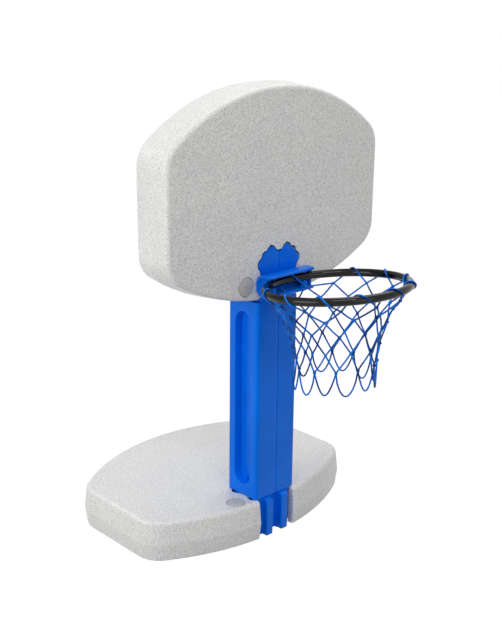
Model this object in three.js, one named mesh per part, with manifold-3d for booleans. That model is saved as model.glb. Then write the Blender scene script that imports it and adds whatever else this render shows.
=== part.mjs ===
// Poolside basketball hoop, in millimetres, +Z up.
// The origin is on the deck under the middle of the base. +Y points away from the pool, so the rim
// reaches out towards -Y. The base and the backboard are the same hollow moulding, used twice: once
// lying flat and once standing up. Each has a lobed keyhole that fits over an end of the blue post.
import * as THREE from 'three';
import { mergeVertices } from 'three/addons/utils/BufferGeometryUtils.js';
import Module from 'manifold-3d';

const wasm = await Module();
wasm.setup();

// Gaps shared by all pieces
const touchGap = 0.3;
const overrun = 5;

// Tank moulding: a rounded slab, drawn with x across it, y along its height and z through it
const tankHalfWidth = 395;
const tankHeight = 583;
const tankThickness = 119;
const tankWall = 4.5;
const tankDraft = 6;
const tankEdgeRadius = 12;
const tankUnderDraft = 6;
const tankUnderEdgeRadius = 5;
const tankPartingHeight = 52;
const bottomArcRadius = 707;
const lowerCornerRadius = 88;
const upperCornerRadius = 92;
const crownRadius = 585;

// Keyhole and the plug that fills it: a straight neck below a lobed head
const neckHalfWidth = 64;
const lobeCentre = 75;
const lobeRadius = 88.5;
const keyClearance = 2;
const lobeAngles = [2, 12, 27, 38.5, 46.5, 56, 67, 83, 90].map(THREE.MathUtils.degToRad);
const lobeShares = [0.72, 0.8, 0.985, 0.935, 0.99, 0.925, 0.985, 0.73, 0.717];

// Post
const postHalfWidth = 76;
const postSetback = 21;
const postEdgeRadius = 7;
const postWall = 5;
const footGap = 1;
const footRise = 2;
const recessHalfWidth = 32;
const recessMargin = 35;
const recessDepth = 24;
const recessDraft = 5;
const partingWidth = 6;
const partingDepth = 2;
const footHalfWidth = 63.5;
const footRibWidth = 26;
const footRibSpacing = 60;
const footRibReach = 12;
const footRibCorner = 5;
const footRibDrop = 2;
const footRibTaper = 5;
const footValleyWidth = 30;
const footValleyDepth = 6;
const drainRadius = 3;
const drainRise = 9;

// Fill cap, its seal and the seat moulded for them in each tank
const capOffset = 121;
const capSetback = 57;
const capRadius = 25.5;
const capFlange = 4;
const capShankRadius = 18.5;
const capShankLength = 15;
const capWall = 3;
const capSlotLength = 16;
const capSlotWidth = 1.8;
const capSlotDepth = 1.5;
const sealThickness = 2;
const sealWidth = 5.5;

// Rim: a steel tube bent to a ring that rises towards its front
const rimRadius = 187;
const rimTubeRadius = 11;
const rimTubeWall = 1.5;
const rimRearReach = 27;
const rimRearHeight = 770;
const rimTilt = THREE.MathUtils.degToRad(6.3);
const rimEndGap = 3;

// Bracket: a C-shaped channel that carries the rim's rear arc
const bracketHalfLength = 87;
const bracketHalfHeight = 31;
const bracketReach = 50;
const bracketWall = 9;
const bracketCorner = 25;
const bracketCentreDrop = 5;
const bracketRise = 53.7;
const saddleThickness = 6;
const saddleSpacing = 156;
const saddleSetback = 4;
const bossRadius = 9;

// Fasteners
const boltSpacingX = 84;
const boltSpacingZ = 24;
const boltRadius = 4;
const boltLength = 22;
const boltHeadRadius = 7;
const boltHeadHeight = 4.5;
const boltSocketRadius = 2.6;
const boltSocketDepth = 2.5;
const insertRadius = 7;
const insertLength = 18;
const insertBossRadius = 11;
const insertBossFloor = 4;
const screwSpacing = 120;
const screwRadius = 3;
const screwHeadRadius = 5.5;
const screwHeadHeight = 4;
const screwBite = 6;

// Net
const hitchCount = 12;
const cordRadius = 1.9;
const netRowDepths = [40, 82, 128, 176, 226];
const netRowRadii = [153.5, 137, 124, 115, 112];
const netLength = 277;
const netTiltShare = 0.7;

// Sizes worked out from the ones above
const baseCentre = tankHeight / 2;
const postFront = postSetback - baseCentre;
const postDepth = tankThickness;
const neckFoot = keyClearance + neckHalfWidth;
const bracketHeight = rimRearHeight - bracketCentreDrop;
const shoulderHeight = bracketHeight - bracketRise;
const boardHeight = shoulderHeight + touchGap - bottomEdgeAt(neckFoot);
const rimCentre = new THREE.Vector3(
  0,
  postFront - rimRearReach - rimRadius * Math.cos(rimTilt),
  rimRearHeight + rimRadius * Math.sin(rimTilt),
);

// The tank's frames: the base lies face up, and the backboard stands with its face to the pool
const baseFrame = new THREE.Matrix4().makeTranslation(0, -baseCentre, 0);
const boardFrame = new THREE.Matrix4()
  .makeTranslation(0, postFront + tankThickness, boardHeight)
  .multiply(new THREE.Matrix4().makeRotationX(Math.PI / 2));
const rimFrame = new THREE.Matrix4()
  .makeTranslation(rimCentre.x, rimCentre.y, rimCentre.z)
  .multiply(new THREE.Matrix4().makeRotationX(-rimTilt));

// Finishes
const greyPlastic = { color: 0xcfcfcd, roughness: 0.75, metalness: 0 };
const capPlastic = { color: 0x9c9ca0, roughness: 0.6, metalness: 0 };
const bluePlastic = { color: 0x0b57c4, roughness: 0.4, metalness: 0 };
const blackPaint = { color: 0x0b0b0c, roughness: 0.25, metalness: 0.3 };
const blueCord = { color: 0x1247d6, roughness: 0.7, metalness: 0 };
const blackRubber = { color: 0x181818, roughness: 0.9, metalness: 0 };
const zincSteel = { color: 0xb4b6ba, roughness: 0.35, metalness: 1 };
const brass = { color: 0xb58b3c, roughness: 0.35, metalness: 1 };

// Height of the bottom arc above the tank's lowest point, at a distance from the middle
function bottomEdgeAt(x) {
  return bottomArcRadius - Math.sqrt(bottomArcRadius ** 2 - x ** 2);
}

// A closed three.js geometry as a manifold solid
function solid(geometry) {
  const bare = geometry.clone();
  bare.deleteAttribute('normal');
  bare.deleteAttribute('uv');
  const merged = mergeVertices(bare);
  const mesh = new wasm.Mesh({
    numProp: 3,
    vertProperties: new Float32Array(merged.attributes.position.array),
    triVerts: new Uint32Array(merged.index.array),
  });
  return new wasm.Manifold(mesh);
}

// A manifold solid as a named mesh
function toMesh(name, body, finish) {
  const mesh = body.getMesh();
  const geometry = new THREE.BufferGeometry();
  geometry.setAttribute('position', new THREE.BufferAttribute(mesh.vertProperties, mesh.numProp));
  geometry.setIndex(new THREE.BufferAttribute(mesh.triVerts, 1));
  geometry.computeVertexNormals();
  const result = new THREE.Mesh(geometry, new THREE.MeshStandardMaterial(finish));
  result.name = name;
  return result;
}

// Points on an arc about a centre, both ends included
function arcPoints(cx, cy, radius, from, to, steps) {
  const points = [];
  for (let i = 0; i <= steps; i += 1) {
    const angle = from + ((to - from) * i) / steps;
    points.push(new THREE.Vector2(cx + radius * Math.cos(angle), cy + radius * Math.sin(angle)));
  }
  return points;
}

// Right half points, bottom to top, closed by their mirror image
function mirrored(half) {
  const left = half
    .slice()
    .reverse()
    .filter((point) => Math.abs(point.x) > Number.EPSILON)
    .map((point) => new THREE.Vector2(-point.x, point.y));
  return half.concat(left);
}

// A straight extrusion of a closed outline, from one height to another
function prism(outline, from, to) {
  const shape = new THREE.Shape(outline);
  const geometry = new THREE.ExtrudeGeometry(shape, { depth: to - from, bevelEnabled: false });
  return geometry.translate(0, 0, from);
}

// A closed skin over rings that have equally many points, each at its own height
function loft(rings) {
  const count = rings[0].points.length;
  const positions = rings.flatMap((ring) => ring.points.flatMap((p) => [p.x, p.y, ring.height]));
  const index = [];
  for (let r = 0; r + 1 < rings.length; r += 1) {
    for (let i = 0; i < count; i += 1) {
      const a = r * count + i;
      const b = r * count + ((i + 1) % count);
      index.push(a, b, b + count, a, b + count, a + count);
    }
  }
  const last = (rings.length - 1) * count;
  for (const [a, b, c] of THREE.ShapeUtils.triangulateShape(rings[0].points, [])) {
    index.push(c, b, a);
  }
  for (const [a, b, c] of THREE.ShapeUtils.triangulateShape(rings.at(-1).points, [])) {
    index.push(last + a, last + b, last + c);
  }
  const geometry = new THREE.BufferGeometry();
  geometry.setAttribute('position', new THREE.Float32BufferAttribute(positions, 3));
  geometry.setIndex(index);
  return geometry;
}

// A round body about +Z from a profile of [radius, height] pairs
function turned(profile, segments) {
  const points = profile.map(([radius, height]) => new THREE.Vector2(radius, height));
  return new THREE.LatheGeometry(points, segments).rotateX(Math.PI / 2);
}

// A plain round rod along +Z, from one height to another
function rod(radius, from, to, segments) {
  return turned([[0, from], [radius, from], [radius, to], [0, to]], segments);
}

// The tank's outline, moved inwards by an inset. Arcs of one centre keep it tangent everywhere.
function tankOutline(inset) {
  const lowerX = tankHalfWidth - lowerCornerRadius;
  const lowerReach = bottomArcRadius - lowerCornerRadius;
  const lowerY = bottomArcRadius - Math.sqrt(lowerReach ** 2 - lowerX ** 2);
  const lowerAngle = Math.atan2(lowerY - bottomArcRadius, lowerX);
  const upperX = tankHalfWidth - upperCornerRadius;
  const crownY = tankHeight - crownRadius;
  const upperReach = crownRadius - upperCornerRadius;
  const upperRise = Math.sqrt(upperReach ** 2 - upperX ** 2);
  const upperY = crownY + upperRise;
  const upperAngle = Math.atan2(upperRise, upperX);
  const bottom = arcPoints(0, bottomArcRadius, bottomArcRadius - inset, -Math.PI / 2, lowerAngle, 4);
  const lower = arcPoints(lowerX, lowerY, lowerCornerRadius - inset, lowerAngle, 0, 5);
  const upper = arcPoints(upperX, upperY, upperCornerRadius - inset, 0, upperAngle, 4);
  const crown = arcPoints(0, crownY, crownRadius - inset, upperAngle, Math.PI / 2, 6);
  crown.at(-1).x = 0;
  bottom[0].x = 0;
  return mirrored([...bottom, ...lower.slice(1), ...upper, ...crown.slice(1)]);
}

// Rings round one edge of the slab, from its flat face to its side, by their rise off the face
function edgeRings(shell, draft, edgeRadius, steps) {
  const radius = edgeRadius - shell;
  const rings = [];
  for (let i = 0; i <= steps; i += 1) {
    const angle = (Math.PI / 2) * (i / steps);
    const inset = shell + draft + radius * (1 - Math.sin(angle));
    rings.push({ points: tankOutline(inset), rise: shell + radius * (1 - Math.cos(angle)) });
  }
  return rings;
}

// The rounded slab. Its sides swell to the full outline where the mould parts.
function tankSlab(shell, steps) {
  const under = edgeRings(shell, tankUnderDraft, tankUnderEdgeRadius, steps).map((ring) => ({
    points: ring.points,
    height: ring.rise,
  }));
  const parting = { points: tankOutline(shell), height: tankPartingHeight };
  const upper = edgeRings(shell, tankDraft, tankEdgeRadius, steps).map((ring) => ({
    points: ring.points,
    height: tankThickness - ring.rise,
  }));
  return loft([...under, parting, ...upper.reverse()]);
}

// The keyhole's outline, grown outwards, with its neck drawn down to a given height. Each lobe is
// round at its tip and meets the next one in a narrow notch.
function keyOutline(growth, foot) {
  const half = [new THREE.Vector2(neckHalfWidth + growth, foot)];
  const stepsPerLobe = 3;
  for (let k = 0; k + 1 < lobeAngles.length; k += 1) {
    for (let i = k === 0 ? 0 : 1; i <= stepsPerLobe; i += 1) {
      const turn = ((Math.PI / 2) * i) / stepsPerLobe;
      const rising = lobeShares[k + 1] > lobeShares[k];
      const blend = rising ? Math.sin(turn) : 1 - Math.cos(turn);
      const angle = lobeAngles[k] + ((lobeAngles[k + 1] - lobeAngles[k]) * i) / stepsPerLobe;
      const share = lobeShares[k] + (lobeShares[k + 1] - lobeShares[k]) * blend;
      const radius = lobeRadius * share + growth;
      const x = radius * Math.cos(angle);
      half.push(new THREE.Vector2(x, lobeCentre + radius * Math.sin(angle)));
    }
  }
  half.at(-1).x = 0;
  return mirrored(half);
}

// The hollow tank with its keyhole and the stepped seat for its fill cap
function tankBody() {
  const keyFoot = -overrun;
  const capX = -capOffset;
  const seatDepth = capFlange + sealThickness + 2 * touchGap;
  const seatFloor = tankThickness - seatDepth;
  const keyWall = solid(prism(keyOutline(keyClearance + tankWall, keyFoot), 0, tankThickness));
  const seatWall = solid(
    rod(capRadius + touchGap + tankWall, seatFloor - tankWall, tankThickness, 20).translate(
      capX,
      capSetback,
      0,
    ),
  );
  const hollow = solid(tankSlab(tankWall, 2)).subtract(keyWall).subtract(seatWall);
  const key = solid(prism(keyOutline(keyClearance, keyFoot), -overrun, tankThickness + overrun));
  const seat = solid(
    turned(
      [
        [0, seatFloor - tankWall - overrun],
        [capShankRadius + touchGap, seatFloor - tankWall - overrun],
        [capShankRadius + touchGap, seatFloor],
        [capRadius + touchGap, seatFloor],
        [capRadius + touchGap, tankThickness + overrun],
        [0, tankThickness + overrun],
      ],
      24,
    ).translate(capX, capSetback, 0),
  );
  return solid(tankSlab(0, 3)).subtract(hollow).subtract(key).subtract(seat);
}

// The fill cap: a flush flange with a coin slot over a hollow threaded shank
function capBody() {
  const top = tankThickness;
  const under = top - capFlange;
  const bottom = under - capShankLength;
  const cap = solid(
    turned(
      [
        [0, under - capWall],
        [capShankRadius - capWall, under - capWall],
        [capShankRadius - capWall, bottom],
        [capShankRadius, bottom],
        [capShankRadius, under],
        [capRadius, under],
        [capRadius, top - capWall / 3],
        [capRadius - capWall / 3, top],
        [0, top],
      ],
      24,
    ),
  );
  const slot = solid(new THREE.BoxGeometry(capSlotLength, capSlotWidth, 2 * capSlotDepth));
  return cap.subtract(slot.translate([0, 0, top]));
}

// The flat ring that the cap's flange presses on its seat
function sealBody() {
  const top = tankThickness - capFlange - touchGap;
  const outer = capRadius - touchGap;
  const inner = outer - sealWidth;
  const bottom = top - sealThickness;
  const section = [[inner, bottom], [outer, bottom], [outer, top], [inner, top], [inner, bottom]];
  return solid(turned(section, 24));
}

// A long slot outline, rounded at both ends, with x across it and y along it
function stadium(halfWidth, from, to) {
  const steps = 6;
  const upper = arcPoints(0, to - halfWidth, halfWidth, 0, Math.PI, steps);
  const lower = arcPoints(0, from + halfWidth, halfWidth, Math.PI, 2 * Math.PI, steps);
  return [...upper, ...lower];
}

// A drafted recess in one side of the post, grown by a wall when it shapes the hollow
function sideRecess(side, growth) {
  const from = tankThickness + touchGap + recessMargin;
  const to = shoulderHeight - recessMargin;
  const ringAt = (height) => {
    const inset = (recessDraft * height) / recessDepth - growth;
    return { points: stadium(recessHalfWidth - inset, from + inset, to - inset), height };
  };
  const frame = new THREE.Matrix4().makeBasis(
    new THREE.Vector3(0, -side, 0),
    new THREE.Vector3(0, 0, 1),
    new THREE.Vector3(-side, 0, 0),
  );
  frame.setPosition(side * postHalfWidth, postFront + postDepth / 2, 0);
  return solid(loft([ringAt(-overrun), ringAt(recessDepth + growth)]).applyMatrix4(frame));
}

// A rectangle with rounded corners, as an outline
function roundedRectangle(x0, x1, y0, y1, radius) {
  const quarter = Math.PI / 2;
  const steps = 3;
  return [
    ...arcPoints(x1 - radius, y0 + radius, radius, -quarter, 0, steps),
    ...arcPoints(x1 - radius, y1 - radius, radius, 0, quarter, steps),
    ...arcPoints(x0 + radius, y1 - radius, radius, quarter, 2 * quarter, steps),
    ...arcPoints(x0 + radius, y0 + radius, radius, 2 * quarter, 3 * quarter, steps),
  ];
}

// One of the two upright ribs at the front of the foot, sloping back into it at the top
function footRib(side) {
  const half = footRibWidth / 2;
  const front = postFront - footRibReach;
  const back = postFront + footRibReach;
  const full = roundedRectangle(-half, half, front, back, footRibCorner);
  const shifted = full.map((p) => new THREE.Vector2(p.x, p.y + footRibReach + touchGap));
  const top = tankThickness - footRibDrop;
  const rings = [
    { points: full, height: footGap },
    { points: full, height: top - footRibTaper },
    { points: shifted, height: top },
  ];
  return solid(loft(rings).translate((side * footRibSpacing) / 2, 0, 0));
}

// The lobed plug that fills the base's keyhole
function footPlug(growth, from, to) {
  const lobes = solid(prism(keyOutline(growth, lobeCentre / 2), from, to).applyMatrix4(baseFrame));
  const front = postFront - growth;
  const back = postFront + postDepth / 2;
  const half = footHalfWidth + growth;
  const neck = roundedRectangle(-half, half, front, back, postEdgeRadius);
  return lobes.add(solid(prism(neck, from, to)));
}

// The lobed plug that fills the backboard's keyhole
function headPlug(growth, front, back) {
  const foot = shoulderHeight - boardHeight - 2 * overrun;
  const depthFrom = tankThickness - back;
  const depthTo = tankThickness - front;
  return solid(prism(keyOutline(growth, foot), depthFrom, depthTo).applyMatrix4(boardFrame));
}

// Where the bracket's bolts go, as [x, z] pairs
function boltPlaces() {
  const places = [];
  for (const z of [-1, 1]) {
    for (const x of [-1, 1]) {
      places.push([(x * boltSpacingX) / 2, bracketHeight + (z * boltSpacingZ) / 2]);
    }
  }
  return places;
}

// A rod along +Y, for holes and bosses behind the bracket
function rodAlongY(radius, x, z, from, to, segments) {
  return solid(rod(radius, -to, -from, segments).rotateX(Math.PI / 2).translate(x, 0, z));
}

// The room inside the post, with solid bosses left standing for the inserts
function postHollow() {
  const inner = postHalfWidth - postWall;
  const front = postFront + postWall;
  const back = postFront + postDepth - postWall;
  const bottom = tankThickness + touchGap + postWall;
  const top = shoulderHeight - postWall;
  const section = roundedRectangle(-inner, inner, front, back, postEdgeRadius);
  const shaft = solid(prism(section, bottom, top))
    .subtract(sideRecess(1, postWall))
    .subtract(sideRecess(-1, postWall));
  const head = headPlug(-postWall, postWall, postDepth - postWall);
  const floor = footGap + postWall;
  const foot = footPlug(-postWall, floor, tankThickness + footRise - postWall);
  const throat = footPlug(-postWall, floor, bottom + overrun).intersect(
    solid(prism(section, footGap, bottom + 2 * overrun)),
  );
  const bossBack = postFront + insertLength + insertBossFloor;
  const bosses = boltPlaces().map(([x, z]) =>
    rodAlongY(insertBossRadius, x, z, postFront, bossBack, 12),
  );
  const room = shaft.add(head).add(foot).add(throat);
  return bosses.reduce((rest, boss) => rest.subtract(boss), room);
}

// The hollow post: shaft, lobed head and foot, side recesses and the holes for the inserts
function postBody() {
  const front = postFront;
  const back = postFront + postDepth;
  const bottom = tankThickness + touchGap;
  const outline = roundedRectangle(-postHalfWidth, postHalfWidth, front, back, postEdgeRadius);
  let body = solid(prism(outline, bottom, shoulderHeight))
    .add(headPlug(0, 0, postDepth))
    .add(footPlug(0, footGap, tankThickness + footRise))
    .add(footRib(-1))
    .add(footRib(1))
    .subtract(sideRecess(1, 0))
    .subtract(sideRecess(-1, 0));
  const partingTop = boardHeight + tankHeight;
  const parting = new THREE.BoxGeometry(partingWidth, 2 * partingDepth, partingTop - bottom);
  parting.translate(0, front, (partingTop + bottom) / 2);
  const valleyTop = tankThickness - footRibDrop;
  const valley = new THREE.BoxGeometry(footValleyWidth, 2 * footValleyDepth, valleyTop + overrun);
  valley.translate(0, front, (valleyTop - overrun) / 2);
  body = body.subtract(solid(parting)).subtract(solid(valley)).subtract(postHollow());
  for (const [x, z] of boltPlaces()) {
    const hole = insertRadius + touchGap;
    const end = front + insertLength + 2 * touchGap;
    body = body.subtract(rodAlongY(hole, x, z, front - overrun, end, 12));
  }
  const drainHeight = bottom + recessMargin + drainRise;
  const drain = rod(drainRadius, -postHalfWidth - overrun, -postWall, 10).rotateY(Math.PI / 2);
  return body.subtract(solid(drain.translate(0, front + postDepth / 2, drainHeight)));
}

// An arc about +Z in the rim's own plane, running round from just past its rear
class RimArc extends THREE.Curve {
  constructor(endGap) {
    super();
    this.halfGap = endGap / 2 / rimRadius;
  }

  getPoint(t, target = new THREE.Vector3()) {
    const rear = Math.PI / 2;
    const sweep = 2 * Math.PI - 2 * this.halfGap;
    const angle = rear + this.halfGap + sweep * t;
    return target.set(rimRadius * Math.cos(angle), rimRadius * Math.sin(angle), 0);
  }
}

function rimTube(radius, endGap, steps, sides) {
  const circle = new THREE.Shape(arcPoints(0, 0, radius, 0, 2 * Math.PI, sides).slice(0, -1));
  const path = new RimArc(endGap);
  const options = { steps, extrudePath: path, bevelEnabled: false };
  return new THREE.ExtrudeGeometry(circle, options).applyMatrix4(rimFrame);
}

// Where a rim screw crosses the tube, a given distance from the middle
function rimRearAt(x) {
  const drop = rimRadius - Math.sqrt(rimRadius ** 2 - x ** 2);
  return {
    y: postFront - rimRearReach - drop * Math.cos(rimTilt),
    z: rimRearHeight + drop * Math.sin(rimTilt),
  };
}

function screwPlaces() {
  return [-1, 1].map((side) => {
    const x = (side * screwSpacing) / 2;
    return { x, ...rimRearAt(x) };
  });
}

function rimBody() {
  const outer = solid(rimTube(rimTubeRadius, rimEndGap, 48, 10));
  const inner = solid(rimTube(rimTubeRadius - rimTubeWall, rimEndGap / 2, 48, 6));
  let rim = outer.subtract(inner);
  for (const { x, y, z } of screwPlaces()) {
    const reach = rimTubeRadius + overrun;
    rim = rim.subtract(solid(rod(screwRadius + touchGap, -reach, reach, 8).translate(x, y, z)));
  }
  return rim;
}

// Half of the C section: back, corner and one lip, with y as depth and z as height
function bracketOutline() {
  const quarter = Math.PI / 2;
  const inner = bracketHalfHeight - bracketWall;
  const innerCorner = bracketCorner - bracketWall;
  const lipRadius = bracketWall / 2;
  const lipEnd = bracketReach - lipRadius;
  const turn = 5;
  const outside = arcPoints(
    bracketCorner,
    bracketHalfHeight - bracketCorner,
    bracketCorner,
    2 * quarter,
    quarter,
    turn,
  );
  const lip = arcPoints(lipEnd, bracketHalfHeight - lipRadius, lipRadius, quarter, -quarter, 4);
  const inside = arcPoints(
    bracketWall + innerCorner,
    inner - innerCorner,
    innerCorner,
    quarter,
    2 * quarter,
    turn,
  );
  const upper = [...outside, ...lip, ...inside];
  const lower = upper.map((p) => new THREE.Vector2(p.x, -p.y)).reverse();
  return [...upper, ...lower].reverse();
}

// The section stands in the plane of depth and height, and runs along the bracket's length
function alongBracket(outline, from, to) {
  const frame = new THREE.Matrix4().makeBasis(
    new THREE.Vector3(0, -1, 0),
    new THREE.Vector3(0, 0, 1),
    new THREE.Vector3(-1, 0, 0),
  );
  frame.setPosition(0, postFront - touchGap, bracketHeight);
  return solid(prism(outline, from, to).applyMatrix4(frame));
}

function bracketBody() {
  let body = alongBracket(bracketOutline(), -bracketHalfLength, bracketHalfLength);
  const fill = bracketHalfHeight - bracketWall / 2;
  const front = bracketReach - saddleSetback;
  const web = roundedRectangle(bracketWall / 2, front, -fill, fill, bracketWall);
  for (const side of [-1, 1]) {
    const centre = (side * saddleSpacing) / 2;
    const half = saddleThickness / 2;
    body = body.add(alongBracket(web, centre - half, centre + half));
  }
  const places = screwPlaces();
  for (const { x, y } of places) {
    const boss = rod(bossRadius, bracketHeight - fill, bracketHeight + fill, 12);
    body = body.add(solid(boss.translate(x, y, 0)));
  }
  const tubeRoom = rimTubeRadius + touchGap;
  const slot = rod(rimRadius, -tubeRoom, tubeRoom, 72).applyMatrix4(rimFrame);
  const ringRoom = new THREE.TorusGeometry(rimRadius, tubeRoom / Math.cos(Math.PI / 12), 12, 72);
  body = body.subtract(solid(slot)).subtract(solid(ringRoom.applyMatrix4(rimFrame)));
  const boltSeat = postFront - touchGap - bracketWall;
  for (const [x, z] of boltPlaces()) {
    const hole = rodAlongY(boltRadius + touchGap, x, z, boltSeat - overrun, postFront, 12);
    const spotFace = boltHeadRadius + touchGap;
    const room = rodAlongY(spotFace, x, z, boltSeat - 2 * boltHeadHeight, boltSeat, 16);
    body = body.subtract(hole).subtract(room);
  }
  const under = bracketHeight - bracketHalfHeight;
  for (const { x, y, z } of places) {
    const top = z + rimTubeRadius + screwBite + touchGap;
    body = body.subtract(
      solid(rod(screwRadius + touchGap, under - overrun, top, 8).translate(x, y, 0)),
    );
  }
  return body;
}

// A button-head bolt along +Y, its head inside the bracket, with a hex socket
function boltBody(x, z) {
  const seat = postFront - touchGap - bracketWall - touchGap;
  const end = seat + boltLength;
  const head = rodAlongY(boltHeadRadius, x, z, seat - boltHeadHeight, seat, 16);
  const shank = rodAlongY(boltRadius, x, z, seat - boltHeadHeight / 2, end, 10);
  const socketTop = seat - boltHeadHeight;
  const socket = rodAlongY(boltSocketRadius, x, z, socketTop - overrun, socketTop + boltSocketDepth, 6);
  return head.add(shank).subtract(socket);
}

function insertBody(x, z) {
  const front = postFront;
  const back = postFront + insertLength;
  const sleeve = rodAlongY(insertRadius, x, z, front, back, 12);
  return sleeve.subtract(rodAlongY(boltRadius + touchGap, x, z, front - overrun, back + overrun, 12));
}

// A screw that comes up through the bracket's lower lip and the rim into the upper lip
function rimScrewBody({ x, y, z }) {
  const seat = bracketHeight - bracketHalfHeight - touchGap;
  const end = z + rimTubeRadius + screwBite;
  const head = solid(rod(screwHeadRadius, seat - screwHeadHeight, seat, 6).translate(x, y, 0));
  const shank = solid(rod(screwRadius, seat - screwHeadHeight / 2, end, 8).translate(x, y, 0));
  return head.add(shank);
}

// A point of the net: a turn counted in hitches, a radius and a depth below the rim
function netPoint(turn, radius, depth) {
  const angle = (2 * Math.PI * turn) / hitchCount;
  const x = radius * Math.cos(angle);
  const y = radius * Math.sin(angle);
  const fade = 1 - (1 - netTiltShare) * (depth / netLength);
  const lean = -y * Math.sin(rimTilt) * fade;
  return new THREE.Vector3(x, rimCentre.y + y, rimCentre.z + lean - depth);
}

// Outward from the rim's axis at a turn
function netOutward(turn) {
  const angle = (2 * Math.PI * turn) / hitchCount;
  return new THREE.Vector3(Math.cos(angle), Math.sin(angle), 0);
}

// The cord's six-sided section at a point, from its left side over the front to its right side
function cordRing(point, along, outward) {
  const left = new THREE.Vector3().crossVectors(outward, along).normalize();
  const ring = [];
  for (let k = 0; k < 6; k += 1) {
    const angle = ((1 - k) * Math.PI) / 3;
    const offset = left.clone().multiplyScalar(cordRadius * Math.cos(angle));
    offset.addScaledVector(outward, -cordRadius * Math.sin(angle));
    ring.push(point.clone().add(offset));
  }
  return ring;
}

// Collects points and triangles, so that knots and cords share one closed skin
class Skin {
  constructor() {
    this.positions = [];
    this.index = [];
  }

  addPoint(point) {
    this.positions.push(point.x, point.y, point.z);
    return this.positions.length / 3 - 1;
  }

  addTube(from, to) {
    for (let i = 0; i < from.length; i += 1) {
      const j = (i + 1) % from.length;
      this.index.push(from[i], from[j], to[j], from[i], to[j], to[i]);
    }
  }

  addFace(ring) {
    for (let i = 1; i + 1 < ring.length; i += 1) {
      this.index.push(ring[0], ring[i], ring[i + 1]);
    }
  }

  geometry() {
    const geometry = new THREE.BufferGeometry();
    geometry.setAttribute('position', new THREE.Float32BufferAttribute(this.positions, 3));
    geometry.setIndex(this.index);
    return geometry;
  }
}

// A knot is a small four-cornered block. Each corner has a back, a middle and a front point, and a
// cord joins each of its four sides.
function addKnot(skin, point, outward) {
  const up = new THREE.Vector3(0, 0, 1);
  const right = new THREE.Vector3().crossVectors(up, outward);
  const corners = { top: [0, 1], left: [-1, 0], bottom: [0, -1], right: [1, 0] };
  const reach = [cordRadius / Math.SQRT2, cordRadius * Math.SQRT2, cordRadius / Math.SQRT2];
  const depth = (cordRadius * Math.sqrt(3)) / 2;
  const knot = {};
  for (const [name, [across, rise]] of Object.entries(corners)) {
    knot[name] = reach.map((distance, level) => {
      const place = point.clone().addScaledVector(right, across * distance);
      place.addScaledVector(up, rise * distance).addScaledVector(outward, (level - 1) * depth);
      return skin.addPoint(place);
    });
  }
  const order = [knot.top, knot.left, knot.bottom, knot.right];
  skin.addFace(order.map((corner) => corner[2]));
  skin.addFace(order.map((corner) => corner[0]).reverse());
  return knot;
}

// The ring of points on the side of a knot between the corners left and right of the cord's way
function knotSide(leftCorner, rightCorner) {
  return [...leftCorner, ...rightCorner.slice().reverse()];
}

// A turn of cord round the rim's tube
function hitch(turn, steps) {
  const radius = (rimTubeRadius + touchGap + cordRadius) / Math.cos(Math.PI / steps);
  const ring = new THREE.TorusGeometry(radius, cordRadius, 5, steps);
  const angle = (2 * Math.PI * turn) / hitchCount;
  ring.rotateX(Math.PI / 2).translate(rimRadius, 0, 0).rotateZ(angle).applyMatrix4(rimFrame);
  return solid(ring);
}

// The free loop that hangs between two neighbouring knots of the lowest row
function addLoop(skin, fromKnot, toKnot, start) {
  const depth = netRowDepths.at(-1);
  const radius = netRowRadii.at(-1);
  const loopShares = [[0.12, 0.55], [0.3, 0.92], [0.5, 1], [0.7, 0.92], [0.88, 0.55]];
  const pointAt = ([across, down]) =>
    netPoint(start + across, radius, depth + (netLength - depth) * down);
  const path = [[0, 0], ...loopShares, [1, 0]].map(pointAt);
  let ring = knotSide(fromKnot.right, fromKnot.bottom);
  for (let k = 1; k + 1 < path.length; k += 1) {
    const along = path[k + 1].clone().sub(path[k - 1]).normalize();
    const outward = netOutward(start + loopShares[k - 1][0]);
    const next = cordRing(path[k], along, outward).map((point) => skin.addPoint(point));
    skin.addTube(ring, next);
    ring = next;
  }
  skin.addTube(ring, knotSide(toKnot.left, toKnot.bottom));
}

// The net: rows of knots, each half a mesh round from the row above, with a cord down to either side
function netBody() {
  const steps = 8;
  const hitchDepth = (rimTubeRadius + touchGap + cordRadius) / Math.cos(Math.PI / steps);
  const radii = [rimRadius, ...netRowRadii];
  const depths = [hitchDepth, ...netRowDepths];
  const skin = new Skin();
  const turnOf = (row, i) => i + (row % 2) / 2;
  const rows = radii.map((radius, row) =>
    Array.from({ length: hitchCount }, (_, i) => {
      const turn = turnOf(row, i);
      return addKnot(skin, netPoint(turn, radius, depths[row]), netOutward(turn));
    }),
  );
  const wrap = (row, i) => rows[row][(i + hitchCount) % hitchCount];
  for (let i = 0; i < hitchCount; i += 1) {
    for (let row = 0; row + 1 < rows.length; row += 1) {
      const knot = wrap(row, i);
      const lowerRight = wrap(row + 1, i + (row % 2));
      const lowerLeft = wrap(row + 1, i + (row % 2) - 1);
      const rightEnd = knotSide(lowerRight.top, lowerRight.left);
      const leftEnd = knotSide(lowerLeft.right, lowerLeft.top);
      skin.addTube(knotSide(knot.right, knot.bottom), rightEnd);
      skin.addTube(knotSide(knot.bottom, knot.left), leftEnd);
    }
    const top = wrap(0, i);
    skin.addFace(knotSide(top.top, top.left).reverse());
    skin.addFace(knotSide(top.right, top.top).reverse());
    const last = rows.length - 1;
    addLoop(skin, wrap(last, i), wrap(last, i + 1), turnOf(last, i));
  }
  const hitches = Array.from({ length: hitchCount }, (_, i) => hitch(i, steps));
  return hitches.reduce((net, ring) => net.add(ring), solid(skin.geometry()));
}

// Places a body that was drawn in the tank's frame, at the fill cap
function atCap(body, frame) {
  return body.translate([-capOffset, capSetback, 0]).transform(frame.elements);
}

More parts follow.
